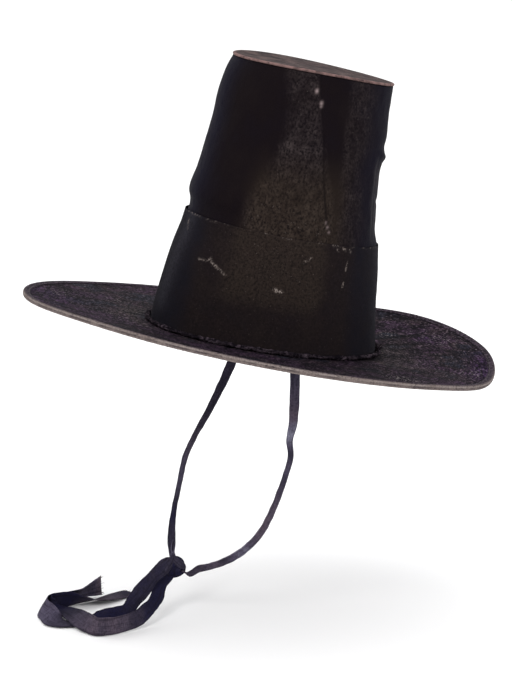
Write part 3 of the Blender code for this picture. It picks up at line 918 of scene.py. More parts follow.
def buildBinding():
    turns = evenTurns(bindingLook["around"])
    profile, outerCount = bindingProfile()
    edgeLine = brimPoint(np.ones_like(turns), turns, 0)
    rows = []
    for index, (out, side) in enumerate(profile):
        ring = brimPoint(1 + out / brimWidth(turns), turns, side)
        if index < outerCount:
            ring[:, 2] += bindingLook["waver"] * unevenness(edgeLine, 3.5, 30 + index * 0.05)
        if index in (0, outerCount - 1):
            ring[:, :2] *= (1 + bindingLook["edgeWaver"] * unevenness(edgeLine, 5, 33))[:, None]
        rows.append(ring)
    points = np.array(rows)
    turn = np.arctan2(points[..., 1], points[..., 0])
    steps = np.diff(np.array([profile[0]] + profile), axis=0)
    length = np.cumsum(np.hypot(steps[:, 0], steps[:, 1]))[:, None] + 0 * turn
    nap = around(bindingLook["patternRadius"] + 0 * turn, turn, length)
    out = np.array([p[0] for p in profile])[:, None] + 0 * turn
    side = np.array([p[1] for p in profile])[:, None] + 0 * turn
    worn = softStep(-1.4, 0.9, out) * softStep(2.6, 1.3, side)
    worn = np.maximum(worn, 0.7 * softStep(-0.4, -1.2, side))
    # the fold's own shaded line runs just under the middle of the edge
    fold = bell(side, -0.35, 0.42) * softStep(0.3, 0.9, out)
    fold = fold * softStep(-0.25, 0.25, unevenness(np.stack([out, turn * 70, 0 * turn], axis=-1), 3.5, 35))
    pale = softStep(0.2, 0.9, out) * bell(side, 0.9, 0.5) + 0.8 * softStep(-1.1, -2.0, side)
    marks = np.stack([worn, fold, np.clip(pale, 0, 1), np.ones_like(worn)], axis=-1)
    faces = gridFaces(len(rows), bindingLook["around"], closeRows=True)
    faces = [tuple(reversed(f)) for f in faces]
    return makePiece("edgeBindingTape", tipped(points), faces, [bindingCloth()],
                     ["edge_binding"], nap=nap, marks=marks)


def bindingCloth():
    made, tree, shader = startMaterial("bindingWornTape")
    nap = attribute(tree, "nap").outputs["Vector"]
    worn, fold, pale = markSockets(tree)[:3]
    ribs = grain(tree, nap, (1, 1, 0.15), 1900, 2, 0.4)
    patches = grain(tree, nap, (1, 1, 1), 60, 5, 0.6)
    scuffs = grain(tree, nap, (1, 1, 2.5), 420, 5, 0.72)
    tufts = grain(tree, nap, (1, 1, 1), 460, 4, 0.65)
    amount = times(tree, spanned(tree, patches, 0.30, 0.52, 0.45, 1.0), worn)
    plush = blended(tree, spanned(tree, tufts, 0.44, 0.54), bindingLook["plush"], bindingLook["dark"])
    body = blended(tree, amount, plush, bindingLook["light"])
    rubbed = times(tree, pale, spanned(tree, patches, 0.62, 0.42, 0.1, 0.8))
    body = blended(tree, rubbed, body, bindingLook["pale"])
    body = tinted(tree, body, scuffs, 0.50, 0.64, 0.75, bindingLook["dark"])
    body = blended(tree, times(tree, fold, 0.85), body, bindingLook["dark"])
    body = tinted(tree, body, ribs, 0.4, 0.7, 0.3, bindingLook["dark"])
    coated(tree, shader, body, 0.85, 0.06)
    bumped(tree, shader, ribs, 0.5, 0.0003)
    return made


def threadMaterial():
    made, tree, shader = startMaterial("bindingThread")
    where = tree.nodes.new("ShaderNodeTexCoord").outputs["Object"]
    twist = grain(tree, where, (1, 1, 1), 900, 2)
    body = blended(tree, spanned(tree, twist, 0.4, 0.6), bindingLook["thread"], bindingLook["threadLight"])
    coated(tree, shader, body, 0.7, 0.5)
    return made


def stitchTree(material):
    tree = bpy.data.node_groups.new("stitchesAlongPath", "GeometryNodeTree")
    face = tree.interface
    face.new_socket("Geometry", in_out="INPUT", socket_type="NodeSocketGeometry")
    for name in ("Spacing", "Stitch Length", "Stitch Thickness"):
        face.new_socket(name, in_out="INPUT", socket_type="NodeSocketFloat")
    face.new_socket("Geometry", in_out="OUTPUT", socket_type="NodeSocketGeometry")
    start = tree.nodes.new("NodeGroupInput")
    finish = tree.nodes.new("NodeGroupOutput")
    points = tree.nodes.new("GeometryNodeCurveToPoints")
    points.mode = "LENGTH"
    ball = tree.nodes.new("GeometryNodeMeshUVSphere")
    ball.inputs["Segments"].default_value = 6
    ball.inputs["Rings"].default_value = 5
    ball.inputs["Radius"].default_value = 0.5
    size = tree.nodes.new("ShaderNodeCombineXYZ")
    place = tree.nodes.new("GeometryNodeInstanceOnPoints")
    jitter = tree.nodes.new("FunctionNodeRandomValue")
    jitter.data_type = "FLOAT"
    jitter.inputs[2].default_value = 0.8
    jitter.inputs[3].default_value = 1.15
    jitter.inputs["Seed"].default_value = 3
    scaled = tree.nodes.new("ShaderNodeVectorMath")
    scaled.operation = "SCALE"
    real = tree.nodes.new("GeometryNodeRealizeInstances")
    dressed = tree.nodes.new("GeometryNodeSetMaterial")
    dressed.inputs["Material"].default_value = material
    link(tree, start.outputs["Geometry"], points.inputs["Curve"])
    link(tree, start.outputs["Spacing"], points.inputs["Length"])
    link(tree, points.outputs["Points"], place.inputs["Points"])
    link(tree, points.outputs["Rotation"], place.inputs["Rotation"])
    link(tree, ball.outputs["Mesh"], place.inputs["Instance"])
    link(tree, start.outputs["Stitch Thickness"], size.inputs["X"])
    link(tree, start.outputs["Stitch Thickness"], size.inputs["Y"])
    link(tree, start.outputs["Stitch Length"], size.inputs["Z"])
    link(tree, size.outputs["Vector"], scaled.inputs[0])
    link(tree, jitter.outputs[1], scaled.inputs["Scale"])
    link(tree, scaled.outputs["Vector"], place.inputs["Scale"])
    link(tree, place.outputs["Instances"], real.inputs["Geometry"])
    link(tree, real.outputs["Geometry"], dressed.inputs["Geometry"])
    link(tree, dressed.outputs["Geometry"], finish.inputs["Geometry"])
    return tree


def setInput(modifier, name, value):
    for item in modifier.node_group.interface.items_tree:
        if item.item_type == "SOCKET" and item.in_out == "INPUT" and item.name == name:
            modifier[item.identifier] = value


def closedPath(name, points):
    curve = bpy.data.curves.new(name, "CURVE")
    curve.dimensions = "3D"
    line = curve.splines.new("POLY")
    line.points.add(len(points) - 1)
    for point, place in zip(line.points, points):
        point.co = (*(Vector(place) * mm), 1)
    line.use_cyclic_u = True
    return curve


def buildStitches():
    tree = stitchTree(threadMaterial())
    turns = evenTurns(bindingLook["stitchPath"])
    inside = hatShape["brimThick"] / 2 + hatShape["gap"]
    top = inside + bindingLook["riseAtStitch"]
    below = -inside - bindingLook["thick"]
    for name, side in (("bindingStitchesTop", top), ("bindingStitchesBelow", below)):
        ring = brimPoint(1 - bindingLook["stitchIn"] / brimWidth(turns), turns, side)
        holder = addObject(name + "Path", closedPath(name + "Path", tipped(ring)))
        modifier = holder.modifiers.new("stitches", "NODES")
        modifier.node_group = tree
        setInput(modifier, "Spacing", bindingLook["stitchEvery"] * mm)
        setInput(modifier, "Stitch Length", bindingLook["stitchLength"] * mm)
        setInput(modifier, "Stitch Thickness", bindingLook["stitchThick"] * mm)
        graph = bpy.context.evaluated_depsgraph_get()
        mesh = bpy.data.meshes.new_from_object(holder.evaluated_get(graph))
        mesh.name = name
        bpy.data.objects.remove(holder)
        piece = addObject(name, mesh)
        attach(piece, "root")


# Welt: rolled strip in the corner between band and brim

weltLook = {
    "around": 520,
    "sides": 12,
    "radius": 1.6,
    "waver": 0.60,          # shares of the radius
    "fineWaver": 0.75,
    "tuftTurn": 74,
    "tuftSpread": 6,
    "tuftThreads": 26,
    "strays": 40,
    "strayTurns": (-100, 70),
    "threadThick": 0.55,
    "dark": (0.0042, 0.0031, 0.0048),
    "light": (0.056, 0.042, 0.053),
    "fleck": (0.20, 0.17, 0.18),
}


def buildWelt():
    turns = evenTurns(weltLook["around"])
    wall = footRadius(turns) + hatShape["gap"] + hatShape["bandThick"]
    middle = wall + hatShape["gap"] + weltLook["radius"]
    height = brimTop(middle + weltLook["radius"], turns) + hatShape["gap"] + weltLook["radius"]
    rows = []
    for angle in evenTurns(weltLook["sides"]):
        ring = around(middle, turns, height)
        swell = 1 + weltLook["fineWaver"] * unevenness(ring, 2.6, 41 + 2 * math.cos(angle))
        swell = swell + weltLook["waver"] * unevenness(ring, 8, 43 + 2 * math.sin(angle))
        size = weltLook["radius"] * swell
        rows.append(around(middle + size * math.cos(angle), turns, height + size * math.sin(angle)))
    faces = gridFaces(len(rows), weltLook["around"], closeRows=True)
    points = np.array(rows).reshape(-1, 3)
    draw = np.random.default_rng(12)
    tuft = draw.normal(weltLook["tuftTurn"], weltLook["tuftSpread"], weltLook["tuftThreads"])
    stray = draw.uniform(*weltLook["strayTurns"], weltLook["strays"])
    turn = np.radians(np.concatenate([tuft, stray]))
    reach = np.concatenate([draw.uniform(3.0, 8.0, len(tuft)), draw.uniform(1.0, 2.6, len(stray))])
    root = around(np.interp(turn % (2 * math.pi), turns, middle), turn,
                  np.interp(turn % (2 * math.pi), turns, height))
    way = np.stack([
        draw.normal(0.25, 0.5, len(turn)) * np.cos(turn) - draw.normal(0, 0.6, len(turn)) * np.sin(turn),
        draw.normal(0.25, 0.5, len(turn)) * np.sin(turn) + draw.normal(0, 0.6, len(turn)) * np.cos(turn),
        draw.uniform(0.2, 1.0, len(turn)),
    ], axis=-1) * reach[:, None]
    threads, threadFaces = looseThreads(root, way, weltLook["threadThick"], len(points))
    points = np.concatenate([points, threads])
    faces += threadFaces
    return makePiece("baseWeltRoll", tipped(points), faces, [weltCloth()], ["base_welt"],
                     nap=points)


def weltCloth():
    made, tree, shader = startMaterial("weltRolledCloth")
    nap = attribute(tree, "nap").outputs["Vector"]
    tufts = grain(tree, nap, (1, 1, 1), 330, 5, 0.65)
    patches = grain(tree, nap, (1, 1, 1), 60, 3, 0.6)
    lifted = times(tree, spanned(tree, tufts, 0.44, 0.60), spanned(tree, patches, 0.36, 0.60, 0.15, 1.0))
    body = blended(tree, lifted, weltLook["dark"], weltLook["light"])
    fleck = times(tree, spanned(tree, tufts, 0.66, 0.71), spanned(tree, patches, 0.44, 0.54))
    coated(tree, shader, blended(tree, fleck, body, weltLook["fleck"]), 0.88, 0.02)
    bumped(tree, shader, tufts, 1.0, 0.0014)
    return made


# Tapes: rows are x, y, z, width and roll, in millimetres and degrees

tapeLook = {
    "step": 1.6,
    "thick": 0.55,
    "across": 11,
    "curl": 0.35,
    "foldHeight": 0.5,
    "flatWidth": 16,
    "rumple": 0.32,
    "fineRumple": 0.13,
    "edgeWander": 0.7,
    "foldAcross": 10,
    "frayThreads": 22,
    "frayThick": 0.3,
    "seatHeights": (24, 15, 6),
    "seat": 1.4,            # how far inside the crown's wall the ties are sewn
    "leftTurn": 3,
    "rightTurn": 177,
    # ways out of the knot
    "tieLeft": (0.55, 0.82, -0.45),
    "tieRight": (-0.40, -0.12, 0.91),
    "tailFront": (0.30, -0.62, -0.72),
    "tailBack": (0.55, -0.55, 0.62),
    "navy": (0.0118, 0.0112, 0.0330),
    "violet": (0.0300, 0.0265, 0.0430),
    "fadeAndLight": (0.0800, 0.0690, 0.1080),
    "bleachedAndLit": (0.1750, 0.1700, 0.2300),
    "rust": (0.1150, 0.0820, 0.0980),
    "dark": (0.0090, 0.0076, 0.0130),
}
tieLeftRows = [
    (82.2, 4.4, -15, 7.5, 0), (82.4, 4.0, -33, 7.5, 0), (82, 3, -52, 6.4, 15), (80, 1, -65, 5.4, 40),
    (79, 2, -78, 5, 55), (75, -0.5, -92, 4.8, 55), (70, -3.8, -107, 4.8, 50), (63, -8.2, -124, 5, 45),
    (55, -14, -141, 5.2, 30), (46, -22, -155, 5.6, 20), (35, -33, -167, 5.6, 35),
    (23, -46, -176, 5.2, 50), (15, -55, -180, 5.4, 55),
]
tieRightRows = [
    (-82.5, 3.5, -14, 7.5, 0), (-82, -4, -36, 7.5, 15), (-76, -16, -57, 7.2, 40), (-67, -29, -75, 7, 50),
    (-57, -42, -91, 6, 52), (-48, -51, -104, 5.4, 50), (-40, -56, -114, 5.2, 50), (-31, -61, -126, 5, 55),
    (-22, -66.4, -139, 4.8, 50), (-11, -71, -154, 5.8, 30), (-3, -73, -165, 6.2, 20),
]
tailFrontRows = [
    (8, -85, -193.8, 10.5, 64), (16, -89, -199.4, 11, 62), (26, -95, -202.7, 10, 48),
    (36, -102, -204.3, 11.5, 34), (43, -109, -207.2, 12.5, 20), (51, -120, -208.4, 13.2, 6),
    (58, -135, -208.5, 14, 0), (58, -145, -208.3, 14.4, 2), (46, -150, -208.8, 15, 34),
    (29, -154, -208.9, 16, 62), (18, -155, -209.4, 16, 71), (7, -158, -209.9, 16, 80),
    (-2, -161, -210.7, 16, 84), (-8, -165, -211.7, 16, 80), (-11, -169, -210.9, 16, 62),
    (-15, -171, -209.6, 16, 44), (-18, -169, -208.5, 16, 28), (-20, -163, -208.0, 16, 22),
    (-23, -153, -208.5, 16, 28), (-26, -143, -210.7, 16, 54), (-29, -136, -212.3, 16, 67),
    (-32, -127, -213.3, 16, 76), (-37, -118, -214.1, 16, 84), (-44, -110, -214.7, 16, 90),
    (-48, -103, -214.7, 16, 90), (-52, -96, -214.7, 16, 90),
]
tailBackRows = [
    (11, -81, -174.6, 8.5, 24), (11, -87, -181.2, 11, 10), (15, -94, -186.3, 12.5, 6),
    (18, -99, -190.8, 14, 6), (21, -105, -195.6, 14, 10), (24, -110, -200.1, 12, 18),
    (26, -116, -206.5, 10.5, 26), (26, -124, -208.5, 12, 34), (27, -133, -209.9, 14, 46),
    (24, -141, -211.9, 16, 62), (20, -148, -214.0, 16, 80), (21, -155, -214.7, 16, 88),
    (22, -161, -214.8, 16, 89), (21, -167, -214.2, 16, 84), (18, -172, -211.7, 16, 64),
    (8, -175, -209.3, 16, 42), (-2, -177, -208.5, 16, 30), (-13, -175, -208.5, 16, 30),
    (-23, -170, -208.7, 16, 34), (-32, -161, -209.7, 16, 44), (-38, -151, -210.1, 16, 48),
    (-42, -141, -209.9, 16, 46), (-47, -131, -208.5, 16, 30), (-52, -120, -207.3, 16, 3),
]
# length from the tape's start, then how light its outer face and its inner face are, partly faded dye and
# partly painted light and shade with the dark inner faces as painted shade, and its rusty dye
tapeFadeAndShade = {
    "tieLeftTape": [
        (0, 0.2, 0.2, 0), (30, 0.34, 0.34, 0), (40, 0.68, 0.68, 0), (58, 0.80, 0.80, 0.4),
        (68, 0.80, 0.80, 0.7), (76, 1.05, 1.05, 0.1), (92, 1.02, 1.02, 0), (99, 0.52, 0.52, 0),
        (108, 0.80, 0.80, 0), (125, 0.48, 0.48, 0.1), (142, 0.70, 0.70, 0.6), (175, 0.80, 0.80, 0.7),
        (192, 1.05, 1.05, 0.1), (208, 1.00, 1.00, 0), (218, 0.50, 0.50, 0.3), (228, 0.8, 0.8, 0.5),
        (240, 0.5, 0.5, 0.6),
    ],
    "tieRightTape": [
        (0, 0.2, 0.2, 0), (100, 0.6, 0.6, 0), (143, 0.70, 0.70, 0.3), (160, 0.85, 0.85, 0),
        (185, 0.60, 0.60, 0), (200, 0.18, 0.18, 0), (216, 0.30, 0.30, 0), (235, 0.7, 0.7, 0),
    ],
    "tailFrontTape": [
        (0, 0.05, 0.05, 0), (45, 0.05, 0.10, 0), (56, 0.10, 0.20, 0.5), (66, 0.10, 0.35, 0.3),
        (76, 0.2, 0.62, 0.6), (92, 0.2, 0.62, 0.75), (108, 0.2, 0.66, 0.7), (124, 0.2, 0.70, 0.4),
        (140, 0.1, 0.55, 0.1), (152, 0.0, 0.30, 0), (164, 0.0, 0.06, 0), (200, 0.0, 0.05, 0),
        (212, 0.3, 0.4, 0.6), (228, 0.6, 0.70, 0.8), (244, 0.5, 0.65, 0.5), (262, 0.2, 0.3, 0.2),
    ],
    "tailBackTape": [
        (0, 0.7, 0.75, 0), (14, 0.5, 0.60, 0), (24, 0.2, 0.34, 0), (40, 0.1, 0.24, 0), (58, 0.0, 0.20, 0),
        (68, 0.0, 0.02, 0), (92, 0.0, 0.02, 0), (102, 0.0, 0.48, 0), (116, 0.0, 0.74, 0),
        (150, 0.0, 0.74, 0), (160, 0.0, 0.3, 0), (190, 0.02, 0.1, 0), (197, 0.85, 0.85, 0),
        (214, 0.95, 0.95, 0), (219, 1.1, 1.1, 0.9), (233, 1.15, 1.15, 1.0),
    ],
    "knotShoulder": [
        (0, 0.5, 0.5, 0), (6, 0.85, 0.85, 0), (14, 0.75, 0.75, 0), (22, 0.45, 0.45, 0), (32, 0.3, 0.3, 0),
    ],
}
knotLook = {
    "centre": (2.1, -71.6, -180.8),
    "half": (7.0, 8.5, 8.5),
    "segments": 96,
    "rings": 64,
    "swirlAxis": (0.93, 0.32, -0.18),
    "wraps": 6.5,
    "wrapRise": 0.05,       # shares of the knot's radius
    "wrapGroove": 0.13,
    "waver": 0.05,
    "startsAt": (-1.5, 0.98, 3.0),      # distances of a tape's first points from the knot's face
    "narrowing": 0.75,
}
# the two arms of the tape that drapes over the knot, from its peak down each side
shoulderLeftRows = [
    (0.2, -72.6, -159.0, 3.4, 0), (5.0, -73.2, -169.2, 6.0, 0), (9.0, -76.5, -174.2, 9.0, 0),
    (12.3, -82.0, -178.2, 10.0, 0), (13.4, -87.6, -181.6, 10.0, 0), (12.2, -92.0, -184.4, 9.6, 0),
]
shoulderRightRows = [
    (0.6, -72.7, -159.2, 3.0, 0), (6.5, -74.3, -170.8, 5.6, 0), (8.8, -71.4, -174.9, 5.6, 0),
    (9.8, -68.2, -177.8, 5.0, 0), (8.4, -65.6, -179.6, 4.0, 0), (4.5, -63.8, -182.0, 3.0, 0),
]


def knotStart(direction, row):
    direction = np.array(direction, float)
    direction /= np.linalg.norm(direction)
    reach = 1 / np.linalg.norm(direction / np.array(knotLook["half"]))
    starts = []
    for clear in knotLook["startsAt"]:
        point = np.array(knotLook["centre"]) + direction * (reach + clear)
        starts.append((*point, row[3] * knotLook["narrowing"], row[4]))
    return starts


def sewnRows(turnDegrees, row):
    turn = math.radians(turnDegrees)
    rows = []
    for height in tapeLook["seatHeights"]:
        radius = float(crownRadius(np.array(float(height)), np.array(turn)))
        radius = radius - hatShape["wall"] - tapeLook["seat"]
        point = tipped(around(np.array(radius), np.array(turn), np.array(float(height))))
        rows.append((*point, row[3], row[4]))
    return rows


def tapeStations(rows, reference):
    table = np.array(rows, float)
    lengths = np.concatenate([[0], np.cumsum(np.linalg.norm(np.diff(table[:, :3], axis=0), axis=1))])
    count = max(2, round(lengths[-1] / tapeLook["step"]) + 1)
    at = np.linspace(0, lengths[-1], count)
    keyed = np.column_stack([lengths, table])
    values = smoothTable(keyed, at)
    middles = values[:, :3]
    widths = values[:, 3]
    rolls = np.radians(values[:, 4])
    ahead = smoothTable(keyed, np.minimum(at + 0.2, lengths[-1]))[:, :3]
    behind = smoothTable(keyed, np.maximum(at - 0.2, 0))[:, :3]
    along = ahead - behind
    along /= np.linalg.norm(along, axis=1)[:, None]
    reference = np.array(reference, float)
    upright = reference - along * (along @ reference)[:, None]
    upright /= np.linalg.norm(upright, axis=1)[:, None]
    aside = np.cross(along, upright)
    across = upright * np.cos(rolls)[:, None] + aside * np.sin(rolls)[:, None]
    face = np.cross(along, across)
    return at, middles, across, face, widths


def flatSection():
    spots = np.linspace(-0.5, 0.5, tapeLook["across"])
    return [(s, tapeLook["curl"] * (4 * s * s - 0.5)) for s in spots]


def foldedSection():
    half = tapeLook["foldAcross"] // 2
    height = tapeLook["foldHeight"]
    section = [(s, height) for s in np.linspace(0.5, -0.42, half)]
    section += [(-0.42 - 0.08 * math.sin(a), height * math.cos(a)) for a in np.linspace(0.5, 2.64, 4)]
    section += [(s, -height) for s in np.linspace(-0.42, 0.47, half)]
    return section


def tapeShape(rows, reference, section, seed, start=0):
    at, middles, across, face, widths = tapeStations(rows, reference)
    section = np.array(section)
    out = section[:, 0]
    centre = middles[:, None, :] + across[:, None, :] * (widths[:, None] * out[None, :])[..., None]
    rumple = tapeLook["rumple"] * unevenness(centre, 9, seed)
    rumple = rumple + tapeLook["fineRumple"] * unevenness(centre, 3, seed + 1)
    edgeWander = tapeLook["edgeWander"] * unevenness(centre, 6, seed + 2) * np.abs(out)[None, :]
    centre = centre + across[:, None, :] * edgeWander[..., None]
    centre = centre + face[:, None, :] * (section[:, 1][None, :] + rumple)[..., None]
    # the cloth's own normal, for its thickness
    normal = np.cross(np.gradient(centre, axis=0), np.gradient(centre, axis=1))
    normal /= np.maximum(np.linalg.norm(normal, axis=2), 1e-9)[..., None]
    half = tapeLook["thick"] / 2
    ring = np.concatenate([centre + normal * half, (centre - normal * half)[:, ::-1]], axis=1)
    count = ring.shape[1]
    faces = [tuple(start + i for i in face) for face in gridFaces(len(ring), count)]
    last = start + (len(ring) - 1) * count
    for c in range(len(out) - 1):
        faces.append((start + c + 1, start + c, start + count - 1 - c, start + count - 2 - c))
        faces.append((last + c, last + c + 1, last + count - 2 - c, last + count - 1 - c))
    return ring, faces, at, out


def closedVolume(mesh):
    shape = bmesh.new()
    shape.from_mesh(mesh)
    size = shape.calc_volume(signed=True)
    shape.free()
    return size


def tapeNap(at, out, shape):
    u = np.broadcast_to(np.concatenate([out, out[::-1]]) * tapeLook["flatWidth"], shape[:2])
    v = np.broadcast_to(at[:, None], shape[:2])
    return np.stack([u, v, np.zeros(shape[:2])], axis=-1)


def tapeMarks(fading, at, out, shape):
    shares = smoothTable(fading, np.clip(at, fading[0][0], fading[-1][0]))
    # the outer and the inner face take their own shares; the dark navy of the inner faces is painted shade
    flip = np.concatenate([np.ones(len(out)), np.zeros(len(out))])[None, :]
    fadeAndLight = shares[:, :1] * flip + shares[:, 1:2] * (1 - flip)
    rust = np.broadcast_to(shares[:, 2:3], shape[:2])
    edge = np.broadcast_to(softStep(0.40, 0.5, np.abs(np.concatenate([out, out[::-1]]))), shape[:2])
    return np.stack([np.clip(fadeAndLight, 0, 1.25), np.clip(rust, 0, 1), edge, np.ones(shape[:2])], axis=-1)


def frayedEnd(ring, seed, start):
    draw = np.random.default_rng(seed)
    count = tapeLook["frayThreads"]
    spots = draw.integers(0, ring.shape[1], count)
    ahead = ring[-1] - ring[-2]
    ahead /= np.linalg.norm(ahead, axis=1)[:, None]
    way = ahead[spots] + draw.normal(0, 0.35, (count, 3))
    way *= draw.uniform(0.8, 2.6, count)[:, None]
    return looseThreads(ring[-1][spots], way, tapeLook["frayThick"], start)


def buildTape(name, rows, reference, section, node, seed, cloth, held):
    ring, faces, at, out = tapeShape(rows, reference, section, seed)
    points = ring.reshape(-1, 3)
    nap = tapeNap(at, out, ring.shape).reshape(-1, 3)
    marks = tapeMarks(tapeFadeAndShade[name], at, out, ring.shape).reshape(-1, 4)
    if held == "laid":
        threads, threadFaces = frayedEnd(ring, seed, len(points))
        points = np.concatenate([points, threads])
        faces = faces + threadFaces
        nap = np.concatenate([nap, np.repeat(nap[-1:], len(threads), axis=0)])
        marks = np.concatenate([marks, np.repeat(marks[-1:], len(threads), axis=0)])
    piece = makePiece(name, points, faces, [cloth], [node], nap=nap, marks=marks)
    if closedVolume(piece.data) < 0:
        piece.data.flip_normals()
    return piece


def tapeCloth():
    made, tree, shader = startMaterial("tieSoftTape")
    nap = attribute(tree, "nap").outputs["Vector"]
    where = tree.nodes.new("ShaderNodeTexCoord").outputs["Object"]
    fadeAndLight, rust, edge = markSockets(tree)[:3]
    ribs = grain(tree, nap, (0.12, 1, 1), 1500, 2, 0.4)
    warps = grain(tree, nap, (1, 0.08, 1), 1300, 2, 0.4)
    weave = joined(tree, "ADD", ribs, warps)
    folds = grain(tree, nap, (1, 0.05, 1), 330, 2, 0.5)
    fuzz = grain(tree, where, (1, 1, 1), 420, 4, 0.66)
    patches = grain(tree, where, (1, 1, 1), 90, 4, 0.6)
    amount = joined(tree, "ADD", fadeAndLight, spanned(tree, patches, 0.3, 0.7, -0.16, 0.16))
    amount = joined(tree, "ADD", amount, times(tree, edge, 0.12))
    amount = times(tree, amount, 0.8)
    # navy paints the shaded inner faces as well as unfaded dye; the top stop paints light on the shaded free
    # end
    stops = [(0.0, tapeLook["navy"]), (0.36, tapeLook["violet"]), (0.82, tapeLook["fadeAndLight"]),
             (1.0, tapeLook["bleachedAndLit"])]
    body = graded(tree, amount, stops)
    reddened = times(tree, times(tree, rust, fadeAndLight), spanned(tree, patches, 0.38, 0.6, 0.35, 0.9))
    body = blended(tree, reddened, body, tapeLook["rust"])
    # painted shade along the tape's lengthwise folds
    body = tinted(tree, body, folds, 0.52, 0.66, 0.55, tapeLook["dark"])
    body = tinted(tree, body, weave, 0.85, 1.25, 0.5, tapeLook["dark"])
    body = tinted(tree, body, fuzz, 0.50, 0.68, 0.55, tapeLook["dark"])
    coated(tree, shader, body, 0.85, 0.04)
    under = bumped(tree, shader, weave, 0.6, 0.0003)
    under = bumped(tree, shader, folds, 0.4, 0.0006, under)
    bumped(tree, shader, fuzz, 0.4, 0.0005, under)
    return made


def buildTapes(cloth):
    frontToBack = (0, 1, 0)
    upward = (0, 0, 1)
    hung = [
        ("tieLeftTape", tieLeftRows, "leftTurn", "tieLeft", "tie_left", 51, 0.240),
        ("tieRightTape", tieRightRows, "rightTurn", "tieRight", "tie_right", 61, 0.230),
    ]
    for name, table, turnName, exitName, node, seed, length in hung:
        rows = sewnRows(tapeLook[turnName], table[0]) + table
        rows += list(reversed(knotStart(tapeLook[exitName], table[-1])))
        buildTape(name, rows, frontToBack, foldedSection(), node, seed, cloth, "hung")
    tails = [
        ("tailFrontTape", tailFrontRows, "tailFront", "tail_front", 71, 0.255),
        ("tailBackTape", tailBackRows, "tailBack", "tail_back", 81, 0.216),
    ]
    for name, table, exitName, node, seed, length in tails:
        rows = knotStart(tapeLook[exitName], table[0]) + table
        buildTape(name, rows, upward, flatSection(), node, seed, cloth, "laid")


def knotBall():
    segments = knotLook["segments"]
    rings = knotLook["rings"]
    polar = np.linspace(0, math.pi, rings + 2)[1:-1, None]
    angle = evenTurns(segments)[None, :]
    x = np.sin(polar) * np.cos(angle)
    y = np.sin(polar) * np.sin(angle)
    z = np.cos(polar) + 0 * angle
    direction = np.concatenate([np.stack([x, y, z], axis=-1).reshape(-1, 3), [[0, 0, 1], [0, 0, -1]]])
    # wraps of tape wind round an axis that points out of the knot's front
    axis = np.array(knotLook["swirlAxis"]) / np.linalg.norm(knotLook["swirlAxis"])
    away = np.arccos(np.clip(direction @ axis, -1, 1))
    side = np.cross(axis, (0, 0, 1))
    spin = np.arctan2(direction @ np.cross(side, axis), direction @ side)
    swirl = np.sin(knotLook["wraps"] * away + spin)
    groove = (0.5 - 0.5 * swirl)**4
    swell = 1 + knotLook["wrapRise"] * swirl - knotLook["wrapGroove"] * groove
    swell = swell + knotLook["waver"] * unevenness(direction * 8, 4, 91)
    points = np.array(knotLook["centre"]) + direction * np.array(knotLook["half"]) * swell[:, None]
    faces = [tuple(reversed(f)) for f in gridFaces(rings, segments)]
    faces += fanFaces(0, segments, rings * segments)
    faces += fanFaces((rings - 1) * segments, segments, rings * segments + 1, flip=True)
    share = 0.02 + 0.42 * softStep(0.3, 1.0, swirl) * softStep(-0.3, 0.6, unevenness(direction * 8, 6, 93))
    marks = np.stack([share, 0 * share, 0 * share, 0 * share + 1], axis=-1)
    nap = np.stack([away * 8, spin * 8, 0 * away], axis=-1)
    return points, faces, nap, marks


def buildKnot(cloth):
    points, faces, nap, marks = knotBall()
    for rows, seed in ((shoulderRightRows, 97), (shoulderLeftRows, 95)):
        ring, armFaces, at, out = tapeShape(rows, (0, 0, 1), flatSection(), seed, len(points))
        points = np.concatenate([points, ring.reshape(-1, 3)])
        faces = faces + armFaces
        nap = np.concatenate([nap, tapeNap(at, out, ring.shape).reshape(-1, 3)])
        arm = tapeMarks(tapeFadeAndShade["knotShoulder"], at, out, ring.shape)
        marks = np.concatenate([marks, arm.reshape(-1, 4)])
    return makePiece("tieKnotWrap", points, faces, [cloth], ["tie_knot"], nap=nap, marks=marks)


# Stage

stageLook = {
    "floorHeight": -216.6,
    "floorReach": 14.0,
    "floorColour": (0.93, 0.93, 0.935),
    "worldStrength": 1.2,
}


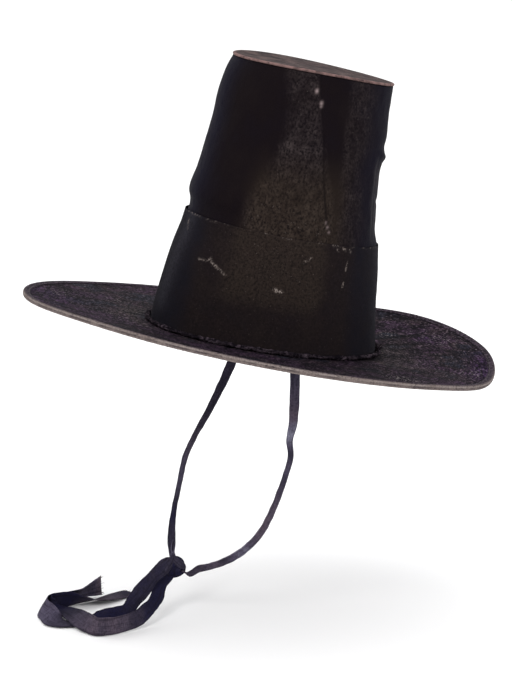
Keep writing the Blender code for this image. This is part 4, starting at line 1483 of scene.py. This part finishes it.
def buildStage():
    reach = stageLook["floorReach"]
    height = stageLook["floorHeight"] * mm
    mesh = bpy.data.meshes.new("floor")
    corners = [
        (-reach, -reach, height),
        (reach, -reach, height),
        (reach, reach, height),
        (-reach, reach, height),
    ]
    mesh.from_pydata(corners, [], [(0, 1, 2, 3)])
    floor = addObject("floor", mesh)
    made, shader = startMaterial("paleFloor")[::2]
    shader.inputs["Base Color"].default_value = (*stageLook["floorColour"], 1)
    shader.inputs["Roughness"].default_value = 0.9
    mesh.materials.append(made)
    world = bpy.data.worlds.new("paleStudio")
    world.use_nodes = True
    background = world.node_tree.nodes["Background"]
    background.inputs["Color"].default_value = (1, 1, 1, 1)
    background.inputs["Strength"].default_value = stageLook["worldStrength"]
    bpy.context.scene.world = world


# name, place, size, power, aim and colour of each lamp
lampTable = [
    ("softKey", (1.9, -1.5, 1.7), 1.1, 26, (0, 0, 0.05), (1.0, 0.985, 0.97)),
    ("softFill", (1.6, 1.9, 0.9), 1.4, 9, (0, 0, 0.0), (0.96, 0.97, 1.0)),
    ("softTop", (-0.6, -0.2, 2.2), 1.5, 12, (0, 0, 0.0), (1.0, 1.0, 1.0)),
]


def buildLamps():
    for name, place, size, power, aim, colour in lampTable:
        lamp = bpy.data.lights.new(name, "AREA")
        lamp.shape = "DISK"
        lamp.size = size
        lamp.energy = power
        lamp.color = colour
        holder = addObject(name, lamp)
        holder.location = place
        holder.rotation_euler = (Vector(aim) - Vector(place)).to_track_quat("-Z", "Y").to_euler()


cameraLook = {
    "place": (2.3743, -0.6161, 0.495),
    "aim": (0.0028, -0.0058, -0.0088),
    "lens": 164.388,
}


def buildCamera():
    data = bpy.data.cameras.new("photoCamera")
    data.lens = cameraLook["lens"]
    data.sensor_width = 36
    data.sensor_fit = "AUTO"
    data.clip_end = 60
    camera = addObject("photoCamera", data)
    camera.location = cameraLook["place"]
    aim = Vector(cameraLook["aim"]) - Vector(cameraLook["place"])
    camera.rotation_euler = aim.to_track_quat("-Z", "Y").to_euler()
    bpy.context.scene.camera = camera


bpy.context.scene.view_settings.view_transform = "Standard"
buildCamera()
buildStage()
buildLamps()
print("camera, floor and lamps placed")
tieCloth = tapeCloth()
buildTapes(tieCloth)
buildKnot(tieCloth)
print("ties, tails and knot made")
buildCrown()
buildTip()
print("crown and tip made")
buildBand()
buildWelt()
print("band and welt made")
buildBrim()
buildBinding()
buildStitches()
print("brim, binding and stitches made")
